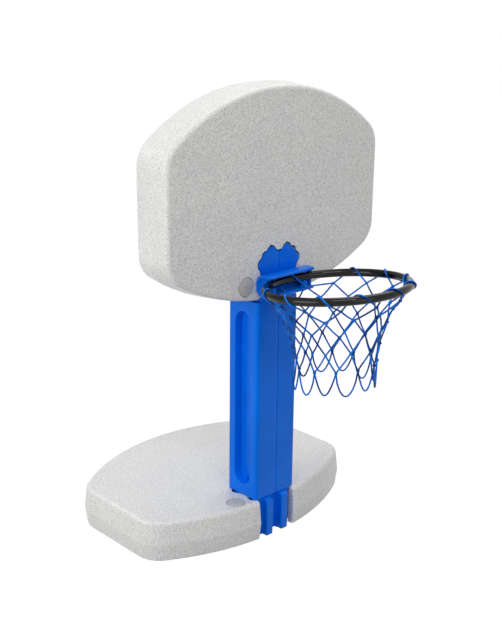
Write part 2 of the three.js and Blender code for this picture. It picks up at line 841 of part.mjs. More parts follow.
const hoop = new THREE.Group();
const tank = tankBody();
hoop.add(toMesh('base_tank', tank.transform(baseFrame.elements), greyPlastic));
hoop.add(toMesh('base_fill_cap', atCap(capBody(), baseFrame), capPlastic));
hoop.add(toMesh('base_cap_seal', atCap(sealBody(), baseFrame), blackRubber));
hoop.add(toMesh('post', postBody(), bluePlastic));
hoop.add(toMesh('backboard_tank', tank.transform(boardFrame.elements), greyPlastic));
hoop.add(toMesh('backboard_fill_cap', atCap(capBody(), boardFrame), capPlastic));
hoop.add(toMesh('backboard_cap_seal', atCap(sealBody(), boardFrame), blackRubber));
hoop.add(toMesh('rim_bracket', bracketBody(), bluePlastic));
boltPlaces().forEach(([x, z], i) => {
  hoop.add(toMesh(`bracket_bolt_${i + 1}`, boltBody(x, z), zincSteel));
  hoop.add(toMesh(`bracket_insert_${i + 1}`, insertBody(x, z), brass));
});
hoop.add(toMesh('rim', rimBody(), blackPaint));
screwPlaces().forEach((place, i) => {
  hoop.add(toMesh(`rim_screw_${i + 1}`, rimScrewBody(place), zincSteel));
});
hoop.add(toMesh('net', netBody(), blueCord));

export default hoop;
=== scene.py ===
# %% [markdown]
# A poolside basketball hoop: a weighted base, a hollow post, a standing backboard, a steel rim and
# a cord net. The CAD model is loaded first, as a fixed frame. Every piece made here sits in that
# frame, in metres, and rides on one of its bodies, so whatever a joint moves takes its looks along.

# %% Load the frame
import math
import random

import bmesh
import bpy
from mathutils import Matrix, Vector
from mathutils.geometry import tessellate_polygon


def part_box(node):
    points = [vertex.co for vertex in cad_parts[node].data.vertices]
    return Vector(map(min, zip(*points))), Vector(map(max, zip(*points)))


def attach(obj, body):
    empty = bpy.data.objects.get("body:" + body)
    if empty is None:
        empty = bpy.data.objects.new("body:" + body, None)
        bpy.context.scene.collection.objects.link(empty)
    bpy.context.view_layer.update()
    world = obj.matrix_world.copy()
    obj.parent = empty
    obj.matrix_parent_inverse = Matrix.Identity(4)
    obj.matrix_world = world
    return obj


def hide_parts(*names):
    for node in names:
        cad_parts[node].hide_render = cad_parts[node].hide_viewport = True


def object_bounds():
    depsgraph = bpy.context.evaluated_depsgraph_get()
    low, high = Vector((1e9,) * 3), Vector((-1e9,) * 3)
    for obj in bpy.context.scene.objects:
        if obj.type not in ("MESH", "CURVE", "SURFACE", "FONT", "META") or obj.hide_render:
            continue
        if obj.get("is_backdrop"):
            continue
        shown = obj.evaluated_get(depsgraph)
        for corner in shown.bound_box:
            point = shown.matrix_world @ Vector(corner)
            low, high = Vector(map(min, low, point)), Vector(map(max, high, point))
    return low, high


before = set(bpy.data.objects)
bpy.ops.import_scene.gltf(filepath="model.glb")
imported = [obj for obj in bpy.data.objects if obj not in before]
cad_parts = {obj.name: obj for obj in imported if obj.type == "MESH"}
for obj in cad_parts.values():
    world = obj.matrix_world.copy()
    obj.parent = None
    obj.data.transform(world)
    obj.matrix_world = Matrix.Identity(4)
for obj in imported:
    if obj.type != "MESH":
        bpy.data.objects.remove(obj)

cad_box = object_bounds()
print("CAD box", [tuple(round(x, 4) for x in corner) for corner in cad_box])

# %% [markdown]
# The camera stands where the photograph was taken from: in front of the hoop, to its left and above
# it. It could be aimed with a Track To constraint, but a matrix of three directions states the
# heading, the pitch and the slight roll exactly, and nothing else can change it.

# %% Camera
CAMERA_PLACE = Vector((-1.966, -2.219, 1.531))
CAMERA_HEADING = math.radians(43.25)
CAMERA_PITCH = math.radians(17.85)
CAMERA_ROLL = math.radians(0.46)
CAMERA_LENS = 59.02
CAMERA_SENSOR = 36.0
CAMERA_SHIFT = (0.0125, 0.0029)


def camera_matrix(place, heading, pitch, roll):
    forward = Vector((math.sin(heading), math.cos(heading), 0)) * math.cos(pitch)
    forward.z = -math.sin(pitch)
    level = Vector((math.cos(heading), -math.sin(heading), 0))
    rise = level.cross(forward)
    right = level * math.cos(roll) + rise * math.sin(roll)
    up = rise * math.cos(roll) - level * math.sin(roll)
    turn = Matrix((right, up, -forward)).transposed()
    return Matrix.Translation(place) @ turn.to_4x4()


def add_object(name, data):
    made = bpy.data.objects.new(name, data)
    bpy.context.scene.collection.objects.link(made)
    return made


camera_data = bpy.data.cameras.new("camera")
camera_data.lens = CAMERA_LENS
camera_data.sensor_width = CAMERA_SENSOR
camera_data.shift_x, camera_data.shift_y = CAMERA_SHIFT
camera = add_object("camera", camera_data)
camera.matrix_world = camera_matrix(CAMERA_PLACE, CAMERA_HEADING, CAMERA_PITCH, CAMERA_ROLL)
bpy.context.scene.camera = camera
bpy.context.scene.view_settings.view_transform = "Standard"
print("camera at", tuple(CAMERA_PLACE))

# %% [markdown]
# A material is a small graph of nodes. Each one here starts from a Principled shader and adds the
# detail that the real surface has. The helpers make a node, set its properties and inputs, and
# join whatever they are handed from another node, so that each finish reads as a short recipe.


# %% Node helpers
def feed(socket, value):
    """Joins another node's output to a socket, or sets the socket to a plain value."""
    if isinstance(value, bpy.types.NodeSocket):
        socket.id_data.links.new(value, socket)
    else:
        socket.default_value = value


def set_inputs(node, **inputs):
    for key, value in inputs.items():
        feed(node.inputs[key.replace("_", " ")], value)


def add_node(tree, kind, settings=None, **inputs):
    node = tree.nodes.new(kind)
    for key, value in (settings or {}).items():
        setattr(node, key, value)
    set_inputs(node, **inputs)
    return node


def in_order(node, *values):
    """Feeds a node whose inputs share one name from the first on, and returns its output."""
    for socket, value in zip(node.inputs, values):
        feed(socket, value)
    return node.outputs[0]


def math_of(tree, operation, *values):
    return in_order(add_node(tree, "ShaderNodeMath", {"operation": operation}), *values)


def new_material(name, **inputs):
    material = bpy.data.materials.new(name)
    material.use_nodes = True
    shader = material.node_tree.nodes["Principled BSDF"]
    set_inputs(shader, **inputs)
    return material, material.node_tree, shader


# %% Helpers for patterns, colours and relief
def place_of(tree):
    return add_node(tree, "ShaderNodeTexCoord").outputs["Object"]


def noise_of(tree, place, scale, detail=2.0, rough=0.5):
    made = add_node(
        tree, "ShaderNodeTexNoise", Vector=place, Scale=scale, Detail=detail, Roughness=rough
    )
    return made.outputs["Fac"]


def ramp_of(tree, value, stops):
    ramp = add_node(tree, "ShaderNodeValToRGB", Fac=value)
    elements = ramp.color_ramp.elements
    while len(elements) < len(stops):
        elements.new(0.5)
    for element, (position, colour) in zip(elements, stops):
        element.position = position
        element.color = (*colour, 1)
    return ramp.outputs["Color"]


def multiplied(tree, first, second):
    """Two colours multiplied. A Mix node keeps colours in inputs 6 and 7 and in output 2."""
    settings = {"data_type": "RGBA", "blend_type": "MULTIPLY"}
    mix = add_node(tree, "ShaderNodeMix", settings, Factor=1.0)
    feed(mix.inputs[6], first)
    feed(mix.inputs[7], second)
    return mix.outputs[2]


def bump_of(tree, height, distance, **under):
    """A shallow relief, over another one whose normal is handed in as Normal."""
    made = add_node(tree, "ShaderNodeBump", Height=height, Distance=distance, **under)
    return made.outputs["Normal"]


def mapped(tree, value, **limits):
    return add_node(tree, "ShaderNodeMapRange", Value=value, **limits).outputs["Result"]


# %% [markdown]
# The two tanks are rotomoulded from polyethylene powder with grey and white grains mixed in, which
# is what gives the granite look. The grains never melt into each other quite evenly, so the colour
# is a fine noise pushed through a ramp, with a second, coarser noise that lets it drift a little.
# The same fine noise drives a shallow bump, because such a skin is pebbled to the touch.

# %% Granite plastic
GRAIN_SCALE = 560.0
GRAIN_HEIGHT = 0.00025
CLUMP_SCALE = 260.0
CLUMP_SHARE = 0.35
DRIFT_SCALE = 7.0
GRAIN_COLOURS = [(0.34, (0.36, 0.36, 0.36)), (0.48, (0.70, 0.70, 0.69)), (0.62, (0.90, 0.90, 0.89))]
DRIFT_COLOURS = [(0.3, (0.96, 0.96, 0.965)), (0.7, (1.0, 1.0, 0.995))]


def granite_plastic():
    material, tree, shader = new_material(
        "granite_plastic", Roughness=0.38, Specular_IOR_Level=0.4
    )
    place = place_of(tree)
    grain = noise_of(tree, place, GRAIN_SCALE, detail=3.0, rough=0.6)
    clump = noise_of(tree, place, CLUMP_SCALE)
    mixed = add_node(
        tree, "ShaderNodeMix", {"data_type": "FLOAT"}, Factor=CLUMP_SHARE, A=grain, B=clump
    )
    colours = ramp_of(tree, mixed.outputs["Result"], GRAIN_COLOURS)
    drift = ramp_of(tree, noise_of(tree, place, DRIFT_SCALE), DRIFT_COLOURS)
    pebbles = bump_of(tree, grain, GRAIN_HEIGHT)
    set_inputs(shader, Base_Color=multiplied(tree, colours, drift), Normal=pebbles)
    return material


GRANITE = granite_plastic()
print("made", GRANITE.name)

# %% [markdown]
# The post and the rim's bracket are the same moulded plastic in bright blue. Its skin is smoother,
# with the faint orange peel of a mould wall and slow waves where it cooled unevenly. A very small
# shift of the blue over the length keeps a large plain face from looking painted on.

# %% Blue plastic
WAVE_SCALE = 9.0
WAVE_HEIGHT = 0.0008
PEEL_SCALE = 260.0
PEEL_HEIGHT = 0.00006
SHEEN_SCALE = 27.0
BLUE_COLOURS = [(0.35, (0.0, 0.142, 0.74)), (0.65, (0.001, 0.16, 0.82))]
BLUE_TINT = (0.06, 0.35, 1, 1)


def blue_plastic():
    material, tree, shader = new_material(
        "blue_plastic", Roughness=0.16, Specular_IOR_Level=0.3, Specular_Tint=BLUE_TINT
    )
    place = place_of(tree)
    wave = noise_of(tree, place, WAVE_SCALE, rough=0.4)
    colours = ramp_of(tree, wave, BLUE_COLOURS)
    slow = bump_of(tree, wave, WAVE_HEIGHT)
    peel = bump_of(tree, noise_of(tree, place, PEEL_SCALE), PEEL_HEIGHT, Normal=slow)
    patches = noise_of(tree, place, SHEEN_SCALE, detail=3.0, rough=0.6)
    sheen = mapped(tree, patches, To_Min=0.13, To_Max=0.22)
    set_inputs(shader, Base_Color=colours, Normal=peel, Roughness=sheen)
    return material


BLUE = blue_plastic()
print("made", BLUE.name)

# %% [markdown]
# The rim is bent steel tube with a gloss black powder coat. Powder flows out almost flat, and what
# is left is a long, low ripple that bends the highlights. The small fittings are plain metals and
# rubber, each with the fine marks of how it was made.

# %% Black paint
PAINT_COLOUR = (0.001, 0.001, 0.001, 1)
RIPPLE_SCALE = 160.0
RIPPLE_HEIGHT = 0.00008
GLOSS_SCALE = 40.0


def black_paint():
    material, tree, shader = new_material(
        "black_paint", Roughness=0.1, Base_Color=PAINT_COLOUR, Specular_IOR_Level=0.3
    )
    place = place_of(tree)
    ripple = bump_of(tree, noise_of(tree, place, RIPPLE_SCALE), RIPPLE_HEIGHT)
    gloss = mapped(tree, noise_of(tree, place, GLOSS_SCALE), To_Min=0.03, To_Max=0.07)
    set_inputs(shader, Normal=ripple, Roughness=gloss)
    return material


BLACK = black_paint()
print("made", BLACK.name)

# %% Metals, rubber and cap plastic
SCRATCH_SHADE = 0.82
SCRATCH_HEIGHT = 0.00004
RUBBER_COLOURS = [(0.35, (0.012, 0.012, 0.012)), (0.65, (0.022, 0.022, 0.022))]
CAP_COLOURS = [(0.35, (0.49, 0.48, 0.47)), (0.65, (0.55, 0.54, 0.53))]


def marked(name, stops, scale, height, detail=2.0, rough=0.5, **inputs):
    """A finish whose fine marks shade its colour and stand out a little."""
    material, tree, shader = new_material(name, **inputs)
    marks = noise_of(tree, place_of(tree), scale, detail, rough)
    set_inputs(shader, Base_Color=ramp_of(tree, marks, stops), Normal=bump_of(tree, marks, height))
    return material


def metal(name, colour, scale, roughness):
    stops = [(0.3, [SCRATCH_SHADE * c for c in colour]), (0.7, colour)]
    scratches = {"scale": scale, "height": SCRATCH_HEIGHT, "detail": 4.0, "rough": 0.7}
    return marked(name, stops, **scratches, Metallic=1.0, Roughness=roughness)


STEEL = metal("zinc_steel", (0.70, 0.71, 0.73), 900.0, 0.32)
BRASS = metal("insert_brass", (0.72, 0.52, 0.22), 700.0, 0.34)
RUBBER = marked(
    "seal_rubber", RUBBER_COLOURS, 500.0, 0.0001, Roughness=0.85, Specular_IOR_Level=0.5
)
CAP_GREY = marked(
    "cap_plastic", CAP_COLOURS, 420.0, 0.00006, Roughness=0.6, Specular_IOR_Level=0.1
)
print("made", STEEL.name, BRASS.name, RUBBER.name, CAP_GREY.name)

# %% [markdown]
# The net is braided cord. The sweep that makes each cord also writes UVs, with U round the cord and
# V along it in metres, so two slanted waves that cross make the braid's little scales in the bump.
# The same waves paint shade into the valleys between the scales and light onto their crests.
# A braid mapped by place alone would smear along the cord.
# A slow noise darkens some stretches: painted shade, standing in for stretches of cord in shadow.

# %% Braided cord
BRAID_TURNS = 4.0
BRAID_RATE = 420.0
BRAID_HEIGHT = 0.0003
SHADE_PATCH_SCALE = 24.0
# Braid colours: painted shade in the valleys, painted light on the crests.
BRAID_SHADE_COLOURS = [(0.2, (0.002, 0.08, 0.42)), (0.8, (0.006, 0.23, 0.95))]
# Painted shade: how far a stretch of cord is darkened, as if it lay in shadow.
SHADE_PATCH_COLOURS = [(0.40, (0.22, 0.22, 0.28)), (0.56, (1.0, 1.0, 1.0))]
CORD_TINT = (0.1, 0.5, 1, 1)


def braid_height(tree):
    """The higher of two waves that wind round the cord in opposite directions, from 0 to 1."""
    uv = add_node(tree, "ShaderNodeUVMap", {"uv_map": "UVMap"}).outputs["UV"]
    split = add_node(tree, "ShaderNodeSeparateXYZ", Vector=uv).outputs
    waves = []
    for side in (-1.0, 1.0):
        across = math_of(tree, "MULTIPLY", split["X"], side * BRAID_TURNS * 2 * math.pi)
        along = math_of(tree, "MULTIPLY_ADD", split["Y"], BRAID_RATE * 2 * math.pi, across)
        waves.append(math_of(tree, "SINE", along))
    return mapped(tree, math_of(tree, "MAXIMUM", *waves), From_Min=-1.0, From_Max=1.0)


def braided_cord():
    material, tree, shader = new_material(
        "blue_cord", Roughness=0.45, Specular_IOR_Level=0.4, Specular_Tint=CORD_TINT
    )
    scales = braid_height(tree)
    # Painted shade and light: the braid's valleys darker, its crests lighter.
    colours = ramp_of(tree, scales, BRAID_SHADE_COLOURS)
    # Painted shade: a slow noise darkens some stretches of cord.
    shade_patches = ramp_of(tree, noise_of(tree, place_of(tree), SHADE_PATCH_SCALE), SHADE_PATCH_COLOURS)
    braid = bump_of(tree, scales, BRAID_HEIGHT)
    set_inputs(shader, Base_Color=multiplied(tree, colours, shade_patches), Normal=braid)
    return material


CORD = braided_cord()
print("made", CORD.name)

# %% [markdown]
# The hoop stands on a plain pale studio floor. The floor takes real light and shadow, and glows in
# what is seen of it, so that it meets the white behind it without an edge. A white wall would do so
# too, but it would throw more light on the hoop.

# %% Floor and world
FLOOR_HALF = 12.0
FLOOR_DROP = 0.0004
FLOOR_COLOUR = (0.46, 0.46, 0.46, 1)
FLOOR_GLOW = 0.8
GLOW_STRENGTH = 1.2
WORLD_COLOUR = (1.0, 0.995, 0.985, 1)
WORLD_LIGHT = 0.44


def seen_rays(tree):
    """One for a ray that looks at the background straight, in a reflection or through glass."""
    rays = add_node(tree, "ShaderNodeLightPath").outputs
    seen = rays["Is Camera Ray"]
    for kind in ("Is Glossy Ray", "Is Transmission Ray"):
        seen = math_of(tree, "MAXIMUM", seen, rays[kind])
    return seen


def show_mix(tree, share, plain, seen, output_name):
    """Shows one node's light, with another's in its place for a share of the rays."""
    mix = add_node(tree, "ShaderNodeMixShader")
    surface = in_order(mix, share, plain.outputs[0], seen.outputs[0])
    set_inputs(tree.nodes[output_name], Surface=surface)


def floor_material():
    material, tree, shader = new_material(
        "studio_floor", Roughness=0.9, Base_Color=FLOOR_COLOUR, Specular_IOR_Level=0.0
    )
    share = math_of(tree, "MULTIPLY", seen_rays(tree), FLOOR_GLOW)
    glow = add_node(tree, "ShaderNodeEmission", Strength=GLOW_STRENGTH)
    show_mix(tree, share, shader, glow, "Material Output")
    return material


def make_floor():
    signs = ((-1, -1), (1, -1), (1, 1), (-1, 1))
    corners = [(x * FLOOR_HALF, y * FLOOR_HALF, -FLOOR_DROP) for x, y in signs]
    mesh = bpy.data.meshes.new("studio_floor")
    mesh.from_pydata(corners, [], [(0, 1, 2, 3)])
    mesh.materials.append(floor_material())
    floor = add_object("studio_floor", mesh)
    floor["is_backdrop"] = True


def make_world():
    world = bpy.data.worlds.new("studio")
    world.use_nodes = True
    bpy.context.scene.world = world
    tree = world.node_tree
    light = tree.nodes["Background"]
    set_inputs(light, Color=WORLD_COLOUR, Strength=WORLD_LIGHT)
    white = add_node(tree, "ShaderNodeBackground", Color=(1, 1, 1, 1), Strength=1.0)
    show_mix(tree, seen_rays(tree), light, white, "World Output")


make_floor()
make_world()
print("world light", WORLD_LIGHT)

# %% [markdown]
# Large soft lamps keep the shading gentle: the brightest from the left, one above and a weak one
# from the front. A small one behind lights the far edges, and a narrow one above the camera draws a
# line along the rim's tube.

# %% Lamps
# Each lamp's place, its size and its power.
LAMPS = {
    "left": ((-3.0, -0.1, 1.35), (2.2, 2.2), 37.5),
    "top": ((1.3, 0.1, 3.4), (2.4, 2.4), 38.0),
    "front": ((-0.6, -3.6, 1.5), (2.0, 2.0), 13.0),
    "rear": ((-1.7, 2.4, 2.5), (0.5, 0.5), 14.0),
    "strip": ((-1.34, -1.94, 3.3), (1.6, 0.5), 22.0),
}
LAMP_AIM = Vector((0, -0.15, 0.7))


def make_lamp(name, place, size, power):
    data = bpy.data.lights.new(name, "AREA")
    data.shape = "DISK" if size[0] == size[1] else "RECTANGLE"
    data.size, data.size_y = size
    data.energy = power
    lamp = add_object("lamp_" + name, data)
    lamp.location = place
    lamp.rotation_euler = (LAMP_AIM - Vector(place)).to_track_quat("-Z", "Y").to_euler()


for lamp_name, lamp in LAMPS.items():
    make_lamp(lamp_name, *lamp)
print("lamps", list(LAMPS))

# %% [markdown]
# Most pieces start as an outline in a plane and a few rings made from it. The helpers below draw
# arcs, mirror a half outline, skin a stack of rings, and turn the result into an object that rides
# on a CAD body and stands for a CAD node.


# %% Outline helpers
def around(radius, angle):
    return radius * math.cos(angle), radius * math.sin(angle)


def arc_points(cx, cy, radius, start, end, steps):
    angles = [start + (end - start) * i / steps for i in range(steps + 1)]
    return [(cx + radius * math.cos(a), cy + radius * math.sin(a)) for a in angles]


def circle_points(cx, cy, radius, steps):
    return arc_points(cx, cy, radius, 0, 2 * math.pi, steps)[:-1]


def mirrored(half):
    """The right half of an outline, up to its point on the middle line, with the left half."""
    return half + [(-x, y) for x, y in reversed(half[:-1])]


def at_height(outline, z):
    return [(x, y, z) for x, y in outline]


def rounded_edge(radius, steps):
    """A rounded corner in steps: how far each point is from the one side and from the other."""
    angles = [math.pi / 2 * i / steps for i in range(steps + 1)]
    return [(radius * (1 - math.sin(a)), radius * (1 - math.cos(a))) for a in angles]


# %% Mesh helpers
SHARP_ANGLE = math.radians(50)


def skin_rings(mesh, rings):
    """Adds rings of bmesh vertices joined by quads, and returns the first and last ring."""
    rows = [[mesh.verts.new(p) for p in ring] for ring in rings]
    for low, high in zip(rows, rows[1:]):
        for i in range(len(low)):
            j = (i + 1) % len(low)
            mesh.faces.new((low[i], low[j], high[j], high[i]))
    return rows[0], rows[-1]


def fill_flat(mesh, loops):
    """Fills a flat outline, with holes after it, by triangles that use its own vertices."""
    flat = [v for loop in loops for v in loop]
    for triangle in tessellate_polygon([[v.co for v in loop] for loop in loops]):
        mesh.faces.new([flat[i] for i in triangle])


def settle_faces(mesh, sharp=SHARP_ANGLE):
    """Turns every face outwards and shades it smooth, up to the sharp edges."""
    bmesh.ops.recalc_face_normals(mesh, faces=mesh.faces)
    for edge in mesh.edges:
        if len(edge.link_faces) == 2 and edge.calc_face_angle(0) > sharp:
            edge.smooth = False
    for face in mesh.faces:
        face.smooth = True


def finish_mesh(mesh, name, sharp=SHARP_ANGLE):
    """Turns a bmesh into an object."""
    settle_faces(mesh, sharp)
    data = bpy.data.meshes.new(name)
    mesh.to_mesh(data)
    mesh.free()
    return add_object(name, data)


def dress(piece, material, slot, body, *nodes):
    piece.data.materials.clear()
    piece.data.materials.append(material)
    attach(piece, body)
    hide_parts(*nodes)
    print(piece.name, "has", len(piece.data.polygons), "faces and rides on", body)


# %% [markdown]
# One mould makes both tanks: a rounded slab with a bow-shaped bottom edge, a domed top and a lobed
# keyhole. Each is drawn flat, with the middle of its bottom edge at the origin, and then moved to
# where it lies or stands. The sizes that the CAD model fixes are read from its boxes.

# %% Sizes from the CAD model
base_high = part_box("base_tank")[1]
board_low, board_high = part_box("backboard_tank")
TANK_HALF_WIDTH = base_high.x
TANK_THICKNESS = base_high.z
TANK_HEIGHT = 2 * base_high.y
POST_FRONT = board_low.y
POST_BACK = POST_FRONT + TANK_THICKNESS
POST_MIDDLE = POST_FRONT + TANK_THICKNESS / 2
BOARD_HEIGHT = board_high.z - TANK_HEIGHT
BASE_FRAME = Matrix.Translation((0, -TANK_HEIGHT / 2, 0))
BOARD_PLACE = Matrix.Translation((0, POST_BACK, BOARD_HEIGHT))
BOARD_FRAME = BOARD_PLACE @ Matrix.Rotation(math.pi / 2, 4, "X")
print("tank height", round(TANK_HEIGHT, 4))

# %% [markdown]
# The keyhole is a neck with a lobed head. The head is a circle whose radius swings between high and
# low points: it rises fast off a notch and falls slowly from a crest, which draws round lobes.

# %% Keyhole
NECK_HALF_WIDTH = 0.064
LOBE_CENTRE = 0.075
LOBE_RADIUS = 0.0885
LOBE_ANGLES = [math.radians(a) for a in (2, 12, 27, 38.5, 46.5, 56, 67, 83, 90)]
LOBE_SHARES = [0.72, 0.8, 0.985, 0.935, 0.99, 0.925, 0.985, 0.73, 0.717]
LOBE_STEPS = 8


def key_side(growth):
    """The right side of the keyhole's head, from the neck up to the middle of the top."""
    side = []
    pairs = list(zip(LOBE_ANGLES, LOBE_SHARES))
    for (a0, s0), (a1, s1) in zip(pairs, pairs[1:]):
        for i in range(LOBE_STEPS):
            blend = math.pi / 2 * i / LOBE_STEPS
            blend = math.sin(blend) if s1 > s0 else 1 - math.cos(blend)
            radius = LOBE_RADIUS * (s0 + (s1 - s0) * blend) + growth
            x, y = around(radius, a0 + (a1 - a0) * i / LOBE_STEPS)
            side.append((x, LOBE_CENTRE + y))
    side.append((0, LOBE_CENTRE + LOBE_RADIUS * LOBE_SHARES[-1] + growth))
    return side


# %% [markdown]
# The outline is a chain of arcs that run into each other, so an inset only changes their radii. The
# keyhole's sides and the outline meet in a small rounded corner, which makes the whole face one
# closed loop. The base's keyhole has one more lobe on each side, between its mouth and its head,
# and a little more room round the head, which shows as two dark gaps beside the post.

# %% Tank outline
BOW_RADIUS = 0.707
LOWER_RADIUS = 0.088
UPPER_RADIUS = 0.092
CROWN_RADIUS = 0.585
MOUTH_RADIUS = 0.008
KEY_CLEARANCE = 0.002
NECK_STEPS, BOTTOM_STEPS, LOWER_STEPS, UPPER_STEPS, CROWN_STEPS = 5, 8, 10, 8, 14


def inner_circle(reach, x):
    """The height and angle, from a large circle's centre, of a small one at this reach and x."""
    height = math.sqrt(reach**2 - x**2)
    return height, math.atan2(height, x)


def tank_side(inset, growth):
    """The right side of the tank's outline, from the keyhole's neck round to the top."""
    mouth_x = NECK_HALF_WIDTH + KEY_CLEARANCE + growth + MOUTH_RADIUS
    mouth_drop, mouth_turn = inner_circle(BOW_RADIUS - inset - MOUTH_RADIUS, mouth_x)
    lower_x = TANK_HALF_WIDTH - LOWER_RADIUS
    lower_drop, lower_turn = inner_circle(BOW_RADIUS - LOWER_RADIUS, lower_x)
    upper_x = TANK_HALF_WIDTH - UPPER_RADIUS
    upper_rise, upper_turn = inner_circle(CROWN_RADIUS - UPPER_RADIUS, upper_x)
    crown_y = TANK_HEIGHT - CROWN_RADIUS
    arcs = [
        (mouth_x, BOW_RADIUS - mouth_drop, MOUTH_RADIUS, -math.pi, -mouth_turn, NECK_STEPS),
        (0, BOW_RADIUS, BOW_RADIUS - inset, -mouth_turn, -lower_turn, BOTTOM_STEPS),
        (lower_x, BOW_RADIUS - lower_drop, LOWER_RADIUS - inset, -lower_turn, 0, LOWER_STEPS),
        (upper_x, crown_y + upper_rise, UPPER_RADIUS - inset, 0, upper_turn, UPPER_STEPS),
        (0, crown_y, CROWN_RADIUS - inset, upper_turn, math.pi / 2, CROWN_STEPS),
    ]
    mouth, bottom, lower, upper, crown = (arc_points(*arc) for arc in arcs)
    side = mouth + bottom[1:] + lower[1:] + upper + crown[1:]
    side[-1] = (0, side[-1][1])
    return side


# %% Mouth lobes and the whole loop
BASE_KEY_EASE = 0.0025
MOUTH_LOBE_REACH = 0.0145
MOUTH_LOBE_TOP = 0.058
MOUTH_LOBE_FOOT = 0.030
MOUTH_LOBE_STEPS = 14
FOLD_MARGIN = 0.001


def mouth_lobe(neck, corner_y, growth):
    """The lobe on the right of the base's keyhole, from above its mouth up to its head."""
    low = max(corner_y + FOLD_MARGIN, MOUTH_LOBE_FOOT)
    lobe = []
    for i in range(MOUTH_LOBE_STEPS + 1):
        turn = math.pi * i / MOUTH_LOBE_STEPS
        reach = MOUTH_LOBE_REACH * math.sqrt(max(math.sin(turn), 0))
        y = low + (MOUTH_LOBE_TOP + growth - low) * (1 - math.cos(turn)) / 2
        lobe.append((neck + reach, y))
    return lobe


def tank_loop(inset, growth, ease=0):
    """The whole face as one loop: round the outside, then up and down inside the keyhole."""
    outside = mirrored(tank_side(inset, growth))
    keyhole = key_side(KEY_CLEARANCE + ease + growth)
    if ease:
        keyhole = mouth_lobe(*outside[0], growth) + keyhole
    up_the_left = [(-x, y) for x, y in keyhole[:-1]]
    return outside + up_the_left + keyhole[::-1]


print("outline points", len(tank_loop(0, 0)))

# %% [markdown]
# Rings of that loop, drawn in towards the faces, give the soft edges and the ridge half way
# through, where the mould parts. The face side has a stepped seat for its fill cap, sunk just deep
# enough for the cap to lie flush: a lathe profile whose first ring is a hole in the face. A boolean
# could cut keyhole and seat, but rings keep every strip of faces clean.

# %% Cap seat
CAP_PLACE = (-0.121, 0.057)
CAP_RADIUS = 0.0255
CAP_GAP = 0.0018
SEAT_DEPTH = 0.0066
SEAT_HOLE_RADIUS = 0.0188
SEAT_WELL = 0.022
SEAT_EDGE = 0.0006
SMALL_EDGE_STEPS = 3
TURN_STEPS = 64


def turn_rings(profile, centre):
    return [at_height(circle_points(*centre, r, TURN_STEPS), z) for r, z in profile]


def seat_profile(top):
    mouth = CAP_RADIUS + CAP_GAP
    floor = top - SEAT_DEPTH
    edge = [(mouth + x, top - y) for x, y in rounded_edge(SEAT_EDGE, SMALL_EDGE_STEPS)]
    well = [(SEAT_HOLE_RADIUS, floor), (SEAT_HOLE_RADIUS, floor - SEAT_WELL)]
    return edge + [(mouth, floor)] + well


# %% Tank shells
TANK_DRAFT = 0.006
TANK_EDGE_RADIUS = 0.012
UNDER_DRAFT = 0.006
UNDER_EDGE_RADIUS = 0.005
TANK_EDGE_STEPS = 6
KEY_EDGE_RADIUS = 0.0012
PARTING_HEIGHT = 0.052
PARTING_RISES = (-0.006, -0.003, 0, 0.003, 0.006)
PARTING_INSETS = (0.00085, 0.0004, 0.0001, 0.00035, 0.0007)


def edge_levels(draft, edge_radius):
    """Rises off a face, with the outline's inset and the keyhole's growth at each."""
    levels = []
    for inset, rise in rounded_edge(edge_radius, TANK_EDGE_STEPS):
        left = max(KEY_EDGE_RADIUS - rise, 0)
        growth = KEY_EDGE_RADIUS - math.sqrt(KEY_EDGE_RADIUS**2 - left**2)
        levels.append((rise, draft + inset, growth))
    return levels


def tank_levels():
    under = edge_levels(UNDER_DRAFT, UNDER_EDGE_RADIUS)
    upper = edge_levels(TANK_DRAFT, TANK_EDGE_RADIUS)
    upper = [(TANK_THICKNESS - rise, inset, growth) for rise, inset, growth in reversed(upper)]
    crease = [(PARTING_HEIGHT + r, inset, 0) for r, inset in zip(PARTING_RISES, PARTING_INSETS)]
    return under + crease + upper


def tank_shell(name, placing, ease):
    mesh = bmesh.new()
    rings = [at_height(tank_loop(inset, growth, ease), z) for z, inset, growth in tank_levels()]
    under, face = skin_rings(mesh, rings)
    mouth, well = skin_rings(mesh, turn_rings(seat_profile(TANK_THICKNESS), CAP_PLACE))
    fill_flat(mesh, [under])
    fill_flat(mesh, [face, mouth])
    mesh.faces.new(well)
    bmesh.ops.transform(mesh, matrix=placing, verts=mesh.verts)
    shell = finish_mesh(mesh, name)
    # The large flat faces rule the shading, so that narrow fillets don't bend it.
    shell.modifiers.new("Weighted normals", "WEIGHTED_NORMAL").keep_sharp = True
    return shell


for body, placing, ease in (("base", BASE_FRAME, BASE_KEY_EASE), ("backboard", BOARD_FRAME, 0)):
    shell = tank_shell(body + "_shell", placing, ease)
    dress(shell, GRANITE, "granite_plastic", body, body + "_tank")

# %% [markdown]
# Each fill cap is a flush disc over a hollow threaded shank. A lathe profile gives the disc and the
# shank, a thin box cut across the top gives the slot that a coin fits, and a cord of plastic wound
# round the shank as a helix gives the thread that shows once the cap is unscrewed.

# %% Sweep a round section along a path
SWEEP_SIDES = 8


def path_frames(path, closed):
    """Two directions across the path at each point, carried along so that they never twist."""
    count = len(path)
    frames = []
    across = None
    for i, point in enumerate(path):
        before = path[i - 1] if closed or i else point
        after = path[(i + 1) % count] if closed or i + 1 < count else point
        along = (after - before).normalized()
        if across is None:
            across = along.orthogonal()
        across = (across - along * across.dot(along)).normalized()
        frames.append((across, along.cross(across)))
    return frames


